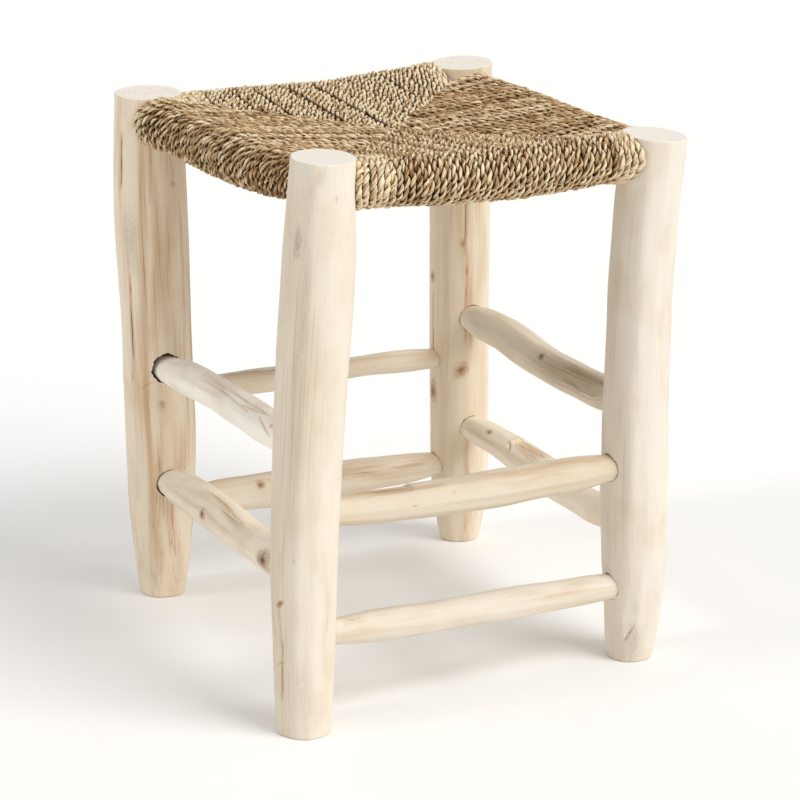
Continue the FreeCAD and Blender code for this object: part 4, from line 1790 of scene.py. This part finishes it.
@dataclass
class Frame:
    """The wooden frame of the stool: its legs, its stretchers and the rails of its seat."""

    legs: dict[str, Leg] = field(init=False)
    stretchers: list[Stretcher] = field(init=False)
    rails: dict[str, SeatRail] = field(init=False)

    def __post_init__(self) -> None:
        """Place the legs on the record's soles, and the cross pieces between them."""
        self.legs = self._legs()
        self.stretchers = self._stretchers()
        self.rails = self._rails()

    def _legs(self) -> dict[str, Leg]:
        """Describe the four legs.

        Returns:
            Each leg by its name, standing where the record's soles say.
        """
        front_left = Leg(
            "leg_front_left", 11,
            wood=PoleWood(pale="e7ddcc", check="866b4b", streakiness=0.15, ringed=0.1),
            quarter=(-1, -1), height=458.0, sole=44.0, ankle=49.5, shin=52.4,
            waist=55.6, belly=57.0, top=49.8, foot_taper=70.0, splay=(-24.5, -12.7), bow=(-3.7, 2.1),
            bow_shares=(0.25, 0.55, 1.0, 0.98, 0.3), top_shift=(2.4, -1.4),
            top_slope=(-0.027, 0.054), hewn=((-153.0, 22.0),), marks=(
                Mark(BRUISE, -158.0, 397.0, 7.0, 24.0, 0.8),
                Mark(BRUISE, -144.0, 330.0, 9.0, 250.0, 0.3),
                # Painted shade: a broad streak the leg's whole height darkens the left flank, which is
                # turned from the key light.
                Mark(STREAK_AND_SHADE, -163.0, 220.0, 34.0, 470.0, 0.5),
                Mark(CHECK, -165.0, 57.0, 0.6, 46.0, 1.0, 0.8),
                Mark(CHECK, -168.0, 93.0, 0.4, 34.0, 0.6, -0.6),
                Mark(CHECK, -171.0, 61.0, 0.8, 3.0, 0.9, 2.5),
                Mark(KNOT, -165.0, 111.0, 6.0, 7.0, 0.9, 2.0),
                Mark(KNOT, -93.0, 431.0, 5.0, 10.0, 0.15),
                Mark(STREAK_AND_SHADE, -75.0, 96.0, 7.0, 90.0, 0.35),
                Mark(KNOT, -136.0, 148.0, 2.5, 9.0, 0.4),
                Mark(STREAK_AND_SHADE, -124.0, 449.0, 6.0, 12.0, 0.6),
                Mark(BRUISE, -125.0, 45.0, 20.0, 40.0, 0.25),
                Mark(KNOT, 35.0, 262.0, 8.0, 15.0, 0.9),
                Mark(CHECK, 80.0, 350.0, 0.9, 80.0)))
        front_right = Leg(
            "leg_front_right", 12,
            wood=PoleWood(pale="e7decf", check="866b4b", streakiness=0.12, ringed=0.06),
            quarter=(1, -1), height=442.0, sole=39.0, ankle=51.5, shin=55.0,
            waist=53.3, belly=52.8, top=52.8, foot_taper=60.0, splay=(-16.8, -5.5), bow=(-4.3, 2.5),
            bow_shares=(-0.05, -0.1, 0.35, 1.0, 0.95), top_slope=(-0.078, 0.044),
            hewn=((-155.0, 15.0), (-187.0, 19.0)), marks=(
                Mark(CHECK, -157.0, 430.0, 0.6, 22.0),
                Mark(KNOT, -120.0, 331.0, 1.8, 2.6, 0.3),
                Mark(KNOT, -101.0, 110.0, 1.8, 2.6, 0.3),
                # A broad band that darkens the left flank down most of the leg's height.
                Mark(STREAK_AND_SHADE, -160.0, 230.0, 20.0, 330.0, 0.3),
                Mark(BRUISE, -120.0, 20.0, 22.0, 34.0, 0.5),
                Mark(CHECK, -128.0, 26.0, 0.6, 12.0, 1.0, 3.0),
                Mark(KNOT, 60.0, 215.0, 9.0, 16.0),
                Mark(STREAK_AND_SHADE, 20.0, 300.0, 8.0, 210.0, 0.5)))
        back_right = Leg(
            "leg_back_right", 13,
            wood=PoleWood(pale="e8d9c2", knot="8a6238", check="9a6f40", ringed=0.2),
            quarter=(1, 1), height=447.0, sole=35.0, ankle=50.0, shin=52.6,
            waist=53.0, belly=53.8, top=53.2, foot_taper=50.0, splay=(7.6, 11.4), bow=(-0.9, 0.5),
            bow_shares=(0.1, 0.3, 0.6, 1.0, 0.6), top_slope=(0.040, 0.014), marks=(
                Mark(STREAK_AND_SHADE, -109.0, 300.0, 10.0, 260.0, 1.0, 1.0),
                Mark(STREAK_AND_SHADE, -78.0, 330.0, 12.0, 190.0, 0.7),
                Mark(STREAK_AND_SHADE, -104.0, 60.0, 5.0, 110.0, 0.8),
                Mark(KNOT, -114.0, 288.0, 5.0, 10.0, 0.7),
                Mark(KNOT, -106.0, 263.0, 4.0, 11.0, 0.6),
                Mark(KNOT, 178.0, 254.0, 7.0, 11.0, 0.9),
                Mark(CHECK, -97.0, 205.0, 0.5, 30.0, 0.5),
                Mark(CHECK, -109.0, 345.0, 1.1, 130.0, 0.9, 0.8),
                Mark(CHECK, -107.0, 240.0, 0.6, 80.0, 0.7, 0.8),
                Mark(CHECK, 179.0, 205.0, 0.8, 66.0),
                Mark(KNOT, -116.0, 170.0, 12.0, 15.0, 0.9, 2.5),
                Mark(KNOT, 179.0, 146.0, 10.0, 19.0, 0.9),
                Mark(KNOT, 40.0, 330.0, 9.0, 14.0)))
        back_left = Leg(
            "leg_back_left", 14,
            wood=PoleWood(pale="eedfc8", tan="cfac85", streakiness=0.8),
            quarter=(-1, 1), height=452.0, sole=38.5, ankle=55.0, shin=58.8,
            waist=58.9, belly=61.3, top=54.6, foot_taper=75.0, splay=(12.3, 18.5), bow=(1.7, -1.0),
            bow_shares=(0.2, 0.5, 1.0, 0.6, -0.3), top_slope=(0.009, 0.017), marks=(
                Mark(CHECK, -166.0, 398.0, 1.1, 46.0),
                Mark(STREAK_AND_SHADE, -133.0, 250.0, 7.0, 400.0, 0.9, 2.0),
                Mark(STREAK_AND_SHADE, -112.0, 330.0, 7.0, 240.0, 1.0, 1.5),
                Mark(CHECK, -113.0, 395.0, 0.5, 60.0, 0.5, 1.0),
                Mark(STREAK_AND_SHADE, -88.0, 330.0, 15.0, 230.0, 0.7),
                Mark(STREAK_AND_SHADE, -136.0, 120.0, 5.0, 220.0, 0.7, 1.0),
                Mark(STREAK_AND_SHADE, -109.0, 110.0, 9.0, 170.0, 0.55, -1.5),
                Mark(STREAK_AND_SHADE, -122.0, 80.0, 5.0, 150.0, 0.5),
                Mark(STREAK_AND_SHADE, -90.0, 80.0, 12.0, 150.0, 0.6),
                Mark(KNOT, -75.0, 378.0, 6.0, 9.0, 0.45),
                Mark(KNOT, -112.0, 184.0, 9.0, 12.0, 0.5),
                Mark(CHECK, -136.0, 201.0, 1.0, 6.0, 0.7, 5.0),
                Mark(CHECK, -160.0, 250.0, 1.0, 92.0, 0.8, 1.5),
                Mark(CHECK, -95.0, 95.0, 0.5, 34.0, 0.45, 2.0),
                Mark(BRUISE, -150.0, 330.0, 18.0, 60.0, 0.4),
                Mark(STREAK_AND_SHADE, 60.0, 240.0, 9.0, 300.0, 0.5),
                Mark(KNOT, 90.0, 290.0, 10.0, 15.0)))
        legs = {leg.name: leg for leg in (front_left, front_right, back_right, back_left)}
        middle = stool_middle(legs)
        for leg in legs.values():
            leg.stool_middle = middle
        return legs

    def _between(self, side: str) -> tuple[Leg, Leg]:
        """Find the two legs of a side.

        Args:
            side: the side of the stool.

        Returns:
            The legs in the order in which the sides run round the stool.
        """
        order = {"front": ("front_left", "front_right"), "right": ("front_right", "back_right"),
                 "back": ("back_right", "back_left"), "left": ("back_left", "front_left")}
        first, second = order[side]
        return self.legs[f"leg_{first}"], self.legs[f"leg_{second}"]

    def _stretchers(self) -> list[Stretcher]:
        """Describe the eight stretchers.

        Returns:
            The two of each side, the upper one first.
        """
        return [
            Stretcher(
                "stretcher_front_upper", 21, legs=self._between("front"), heights=(176.0, 166.0),
                wood=StretcherWood(pale="dccfba"),
                thickness=29.4, tenon=22.0, lift=-2.2, slack=(0.7, 1.0), marks=(
                    Mark(CHIP, -4.0, 66.0, 16.0, 58.0, 2.4),
                    Mark(STREAK_AND_SHADE, 18.0, 85.0, 6.0, 80.0, 1.0),
                    Mark(CHECK, 26.0, 92.0, 0.5, 60.0, 0.4, 1.0),
                    Mark(KNOT, 86.0, 92.0, 3.0, 9.0, 0.5),
                    Mark(KNOT, 60.0, 128.0, 2.5, 4.0, 0.5),
                    Mark(STREAK_AND_SHADE, 22.0, 215.0, 7.0, 110.0, 0.9),
                    Mark(STREAK_AND_SHADE, 60.0, 205.0, 5.0, 70.0, 0.6)),
                girth_shares=(0.85, 0.93, 0.98, 1.0, 0.95, 0.88),
                lift_shares=(0.3, 0.8, 1.0, 1.0, 0.6, 0.2)),
            Stretcher(
                "stretcher_front_lower", 22, legs=self._between("front"), heights=(78.0, 63.0),
                wood=StretcherWood(pale="e3d9c9"),
                thickness=26.0, tenon=21.0, lift=-1.4, slack=(0.6, 0.9), marks=(
                    Mark(STREAK_AND_SHADE, 36.0, 40.0, 6.0, 20.0, 0.6),
                    Mark(STREAK_AND_SHADE, 51.0, 220.0, 8.0, 90.0, 0.4)),
                girth_shares=(0.95, 1.0, 0.95, 0.98, 0.94, 0.88),
                lift_shares=(0.3, 0.9, 1.0, 0.5, 0.2, 0.1)),
            Stretcher(
                "stretcher_right_upper", 23, legs=self._between("right"), heights=(213.0, 218.0),
                wood=StretcherWood(tan="b39a78", streak="7d6648", streakiness=0.35),
                thickness=30.6, tenon=23.0, lift=-3.7, slack=(0.6, 0.8), marks=(
                    Mark(KNOT, -45.0, 140.0, 6.0, 9.0, 0.9),
                    Mark(STREAK_AND_SHADE, -58.0, 92.0, 26.0, 120.0, 1.0),
                    Mark(STREAK_AND_SHADE, -30.0, 70.0, 8.0, 60.0, 0.8)),
                girth_shares=(0.93, 0.93, 0.95, 1.0, 0.98, 0.92),
                lift_shares=(0.3, 0.7, 1.0, 0.3, -0.5, -0.3)),
            Stretcher(
                "stretcher_right_lower", 24, legs=self._between("right"), heights=(110.0, 114.0),
                wood=StretcherWood(pale="f6ead7"),
                thickness=30.8, tenon=21.0, lift=-2.7, slack=(0.6, 0.8), marks=(
                    Mark(KNOT, -39.0, 243.0, 5.0, 10.0, 0.9),
                    Mark(CHECK, -45.0, 201.0, 0.9, 8.0, 1.0, 2.5),
                    Mark(CHIP, -8.0, 178.0, 18.0, 52.0, 2.6),
                    Mark(STREAK_AND_SHADE, 20.0, 205.0, 8.0, 10.0, 0.8),
                    Mark(BRUISE, -60.0, 120.0, 12.0, 60.0, 0.3)),
                girth_shares=(0.87, 0.83, 0.98, 0.94, 0.83, 0.78),
                lift_shares=(0.5, 1.0, 0.3, -0.5, -0.8, -0.4)),
            Stretcher(
                "stretcher_back_upper", 25, legs=self._between("back"), heights=(176.0, 184.0),
                thickness=21.0, tenon=16.5, lift=1.8, slack=(0.6, 0.6), marks=(
                    Mark(STREAK_AND_SHADE, -40.0, 150.0, 4.0, 160.0, 0.5),
                    Mark(CHECK, -20.0, 190.0, 0.6, 90.0, 0.6)),
                girth_shares=(0.88, 0.88, 0.86, 0.95, 1.0, 0.93),
                lift_shares=(0.4, 1.0, 0.5, 0.1, 0.2, 0.1)),
            Stretcher(
                "stretcher_back_lower", 26, legs=self._between("back"), heights=(74.5, 82.0),
                thickness=31.6, tenon=20.0, lift=-1.0, slack=(0.8, 0.6), marks=(
                    Mark(KNOT, -51.0, 209.0, 7.0, 8.0, 0.9),
                    Mark(STREAK_AND_SHADE, -70.0, 90.0, 12.0, 110.0, 0.7),
                    Mark(CHECK, -60.0, 60.0, 0.5, 30.0, 0.4)),
                girth_shares=(0.8, 0.9, 1.0, 1.0, 0.95, 0.86),
                lift_shares=(0.2, 0.4, 0.8, 1.0, 0.9, 0.3)),
            Stretcher(
                "stretcher_left_upper", 27, legs=self._between("left"), heights=(212.0, 230.0),
                thickness=28.8, tenon=23.0, lift=3.5, slack=(1.6, 0.6),
                # Partly painted light: its wood is pale grey-white, and made paler still so that this
                # stretcher, which lies in shade, looks as bright as a lit one.
                wood=StretcherWood(pale="fdf6ea", streakiness=0.2),
                slip=(-2.3, 0.0, 1.3), torn=0.5, marks=(
                    Mark(CHECK, 22.0, 215.0, 0.6, 70.0, 0.45),
                    Mark(CHECK, 44.0, 195.0, 0.5, 60.0, 0.3, 1.5),
                    Mark(CHECK, 33.0, 235.0, 0.5, 44.0, 0.3, -2.0),
                    Mark(CHECK, 62.0, 262.0, 0.6, 24.0, 0.7, 4.0),
                    Mark(KNOT, 50.0, 272.0, 5.0, 8.0, 0.5),
                    Mark(CHIP, 30.0, 150.0, 15.0, 60.0, 0.9),
                    Mark(BRUISE, 40.0, 200.0, 20.0, 120.0, 0.15)),
                girth_shares=(0.93, 0.96, 0.93, 0.99, 1.0, 0.95),
                lift_shares=(0.4, 0.9, 1.0, 0.6, 0.1, 0.0)),
            Stretcher(
                "stretcher_left_lower", 28, legs=self._between("left"), heights=(109.0, 127.5),
                thickness=33.0, tenon=24.0, lift=2.1, slack=(0.8, 0.6),
                wood=StretcherWood(pale="f2e6d2"),
                slip=(-4.0, 0.0, -0.6), torn=0.2, marks=(
                    Mark(KNOT, 78.0, 146.0, 8.0, 10.0, 1.0),
                    Mark(KNOT, 84.0, 280.0, 15.0, 20.0, 1.1),
                    Mark(STREAK_AND_SHADE, 25.0, 175.0, 7.0, 120.0, 0.9, 2.0),
                    Mark(CHECK, 20.0, 190.0, 0.5, 50.0, 0.3, 2.0),
                    Mark(BRUISE, 30.0, 170.0, 12.0, 160.0, 0.35)),
                girth_shares=(0.9, 0.98, 1.0, 0.96, 0.91, 0.9),
                lift_shares=(0.6, 1.0, 0.7, 0.0, -0.3, 0.0)),
        ]

    def _rails(self) -> dict[str, SeatRail]:
        """Describe the four rails that carry the seat.

        Returns:
            Each rail by its side.
        """
        front = SeatRail(
            "seat_rail_front", 31, legs=self._between("front"), heights=(435.6, 426.1),
            thickness=31.6, tenon=16.0, lift=-4.0, girth_shares=(0.88, 0.93, 0.98, 1.0, 0.98, 0.94),
            lift_shares=(0.2, 0.7, 1.0, 1.0, 0.5, 0.1))
        right = SeatRail(
            "seat_rail_right", 32, legs=self._between("right"), heights=(421.0, 423.6),
            thickness=31.0, tenon=16.0, lift=-1.0, girth_shares=(0.87, 0.94, 1.0, 1.0, 0.94, 0.87),
            lift_shares=(-0.6, 1.2, 2.3, 1.4, 0.6, 0.2))
        back = SeatRail(
            "seat_rail_back", 33, legs=self._between("back"), heights=(430.2, 428.4),
            thickness=30.6, tenon=16.0, lift=-3.5, girth_shares=(0.88, 0.94, 1.0, 1.0, 0.95, 0.88),
            lift_shares=(0.2, 0.7, 1.6, 1.15, 0.4, 0.1))
        left = SeatRail(
            "seat_rail_left", 34, legs=self._between("left"), heights=(429.2, 432.4),
            thickness=31.2, tenon=16.0, lift=-2.0, girth_shares=(0.88, 0.95, 1.0, 1.0, 0.92, 0.84),
            lift_shares=(0.2, 0.6, 1.0, 1.0, 0.6, 0.2))
        return {"front": front, "right": right, "back": back, "left": left}

    def make(self) -> None:
        """Make the legs with their holes, and the stretchers, and dress the hidden rails."""
        cross_pieces = [*self.stretchers, *self.rails.values()]
        for name, leg in self.legs.items():
            bores = [piece.bores()[name] for piece in cross_pieces if leg in piece.legs]
            leg.make(leg.wood.material(f"{name}_wood"), "leg_wood", bores)
        for stretcher in self.stretchers:
            finish = stretcher.wood.material(f"{stretcher.name}_wood")
            stretcher.make(finish, "stretcher_wood")
        # Painted shade: the rails take a darkened copy of the wood.
        hidden = SeatRail.wood.material("seat_rail_wood")
        for rail in self.rails.values():
            rail.make(hidden, "stretcher_wood")


def stool_middle(legs: dict[str, Leg]) -> Array:
    """Find the middle of the seat in plan, from the soles that the record gives.

    Args:
        legs: the legs, still placed round nothing.

    Returns:
        The middle, in millimetres.
    """
    offsets = []
    for mount in frame["record"]["mounts"]:
        leg = legs[mount["name"].replace("sole_", "leg_")]
        offsets.append(np.array(mount["pos_m"])[:2] * METRE - leg.middle(np.array(0.0))[:2])
    return np.mean(offsets, axis=0)


@dataclass
class Seat:
    """The woven seat: one cord in four triangles, each round its own rail."""

    wood: Frame
    centre_height: float = 434.0

    def sides(self) -> list[CordSide]:
        """Describe the four sides of the weave.

        Returns:
            The sides, from the front round to the left.
        """
        middle = next(iter(self.wood.legs.values())).stool_middle
        centre = np.array([*middle, self.centre_height])
        rails = self.wood.rails
        # The left side's low tone and strong shadow are partly painted shade, as it faces away from the
        # key light; shadow sets how dark each side's painted gap shade is.
        return [
            CordSide("seat_weave_front", 41, rails["front"], centre, (446.0, 436.0), (True, True),
                     tone=0.6, uneven=0.4, pale_turns=(6, 4), tone_spread=0.15, flat_tone=-0.1,
                     shadow=0.75, partings=((12.5, 1.0), (20.5, 1.2), (33.5, 0.9))),
            CordSide("seat_weave_right", 42, rails["right"], centre, (436.0, 435.0), (False, True),
                     tone=0.45, uneven=0.45, pale_turns=(2, 2), shadow=0.9,
                     partings=((18.5, 0.8), (30.5, 1.1))),
            CordSide("seat_weave_back", 43, rails["back"], centre, (437.0, 444.0), (False, False),
                     tone=0.8, uneven=0.3, pale_turns=(3, 4), corner_swell=(0.6, 0.8),
                     corner_rise=(0.4, -0.8), tone_spread=0.08,
                     partings=((10.5, 1.5), (15.5, 1.0), (23.5, 1.0), (28.5, 1.4), (34.5, 1.5))),
            CordSide("seat_weave_left", 44, rails["left"], centre, (446.0, 446.0), (True, False),
                     tone=0.4, uneven=0.3, pale_turns=(2, 1), corner_swell=(2.6, -1.4),
                     corner_rise=(1.8, 3.0), shadow=1.2, partings=((14.5, 0.7), (31.5, 0.8))),
        ]

    def make(self) -> None:
        """Weave the four sides."""
        straw = CordStraw().material("seat_cord_straw")
        for side in self.sides():
            side.make(straw)


@dataclass(frozen=True)
class Viewpoint:
    """Where the camera stands: in front of the stool, to its left, and a little above."""

    place: tuple[float, float, float] = (-1.2568, -2.2420, 1.0070)
    azimuth: float = -29.55
    elevation: float = 17.41
    focal_pixels: float = 3207.0
    image_pixels: float = 800.0
    film: float = 36.0
    farthest: float = 60.0

    def make(self) -> None:
        """Make the camera and look through it."""
        lens = bpy.data.cameras.new("viewpoint")
        lens.sensor_width = self.film
        lens.lens = self.film * self.focal_pixels / self.image_pixels
        lens.clip_end = self.farthest
        camera = new_object("viewpoint", lens)
        tilt = Euler((math.radians(90.0 - self.elevation), 0.0, math.radians(self.azimuth)))
        camera.matrix_world = Matrix.Translation(Vector(self.place)) @ tilt.to_matrix().to_4x4()
        bpy.context.scene.camera = camera


@dataclass(frozen=True)
class Studio:
    """A pale floor under a large soft light, with light from all round."""

    floor_size: float = 24.0
    floor: str = "fbfaf8"
    floor_shade: str = "f7f6f4"
    sky_strength: float = 0.6
    key_strength: float = 1.95
    key_spread: float = 38.0
    key_direction: tuple[float, float, float] = (-0.377, 0.654, -0.656)
    rim_strength: float = 0.35
    rim_spread: float = 12.0
    rim_direction: tuple[float, float, float] = (0.75, -0.1, -0.65)

    clouds: Pattern = Pattern((0.8, 0.8, 0.8))

    def make(self) -> None:
        """Lay the floor and hang the lights."""
        half = self.floor_size / 2.0
        mesh = bpy.data.meshes.new("floor")
        mesh.from_pydata([(-half, -half, 0), (half, -half, 0), (half, half, 0), (-half, half, 0)],
                         [], [(0, 1, 2, 3)])
        floor = new_object("floor", mesh)
        mesh.materials.append(self._floor_finish())
        self._lamp("key", self.key_strength, self.key_spread, self.key_direction)
        self._lamp("rim", self.rim_strength, self.rim_spread, self.rim_direction)
        world = bpy.data.worlds.new("studio")
        world.use_nodes = True
        sky = world.node_tree.nodes["Background"]
        sky.inputs["Color"].default_value = (1.0, 1.0, 1.0, 1.0)
        sky.inputs["Strength"].default_value = self.sky_strength
        bpy.context.scene.world = world
        bpy.context.scene.view_settings.view_transform = "Standard"

    def _lamp(self, name: str, strength: float, spread: float,
              direction: tuple[float, float, float]) -> None:
        """Hang a large soft lamp.

        Args:
            name: its name.
            strength: how strongly it shines.
            spread: how wide it looks from the stool, in degrees.
            direction: which way it shines.
        """
        light = bpy.data.lights.new(name, "SUN")
        light.energy = strength
        light.angle = math.radians(spread)
        lamp = new_object(name, light)
        lamp.rotation_euler = Vector(direction).to_track_quat("-Z", "Y").to_euler()

    def _floor_finish(self) -> bpy.types.Material:
        """Make the floor's matt paper, with the faintest unevenness.

        Returns:
            Its material.
        """
        shader = Shader("floor_paper")
        cloud = shader.noise(shader.object_place(), self.clouds)
        colour = shader.mix(paint(self.floor), paint(self.floor_shade), cloud)
        return shader.finish(colour, 0.85 + cloud * 0.1, cloud, depth=0.1, gloss=0.1)


def main() -> None:
    """Build the stool, piece by piece, and set it in its studio."""
    logging.basicConfig(level=logging.INFO, format="%(message)s")
    Viewpoint().make()
    wood = Frame()
    wood.make()
    Seat(wood).make()
    Studio().make()


if __name__ == "__main__":
    main()
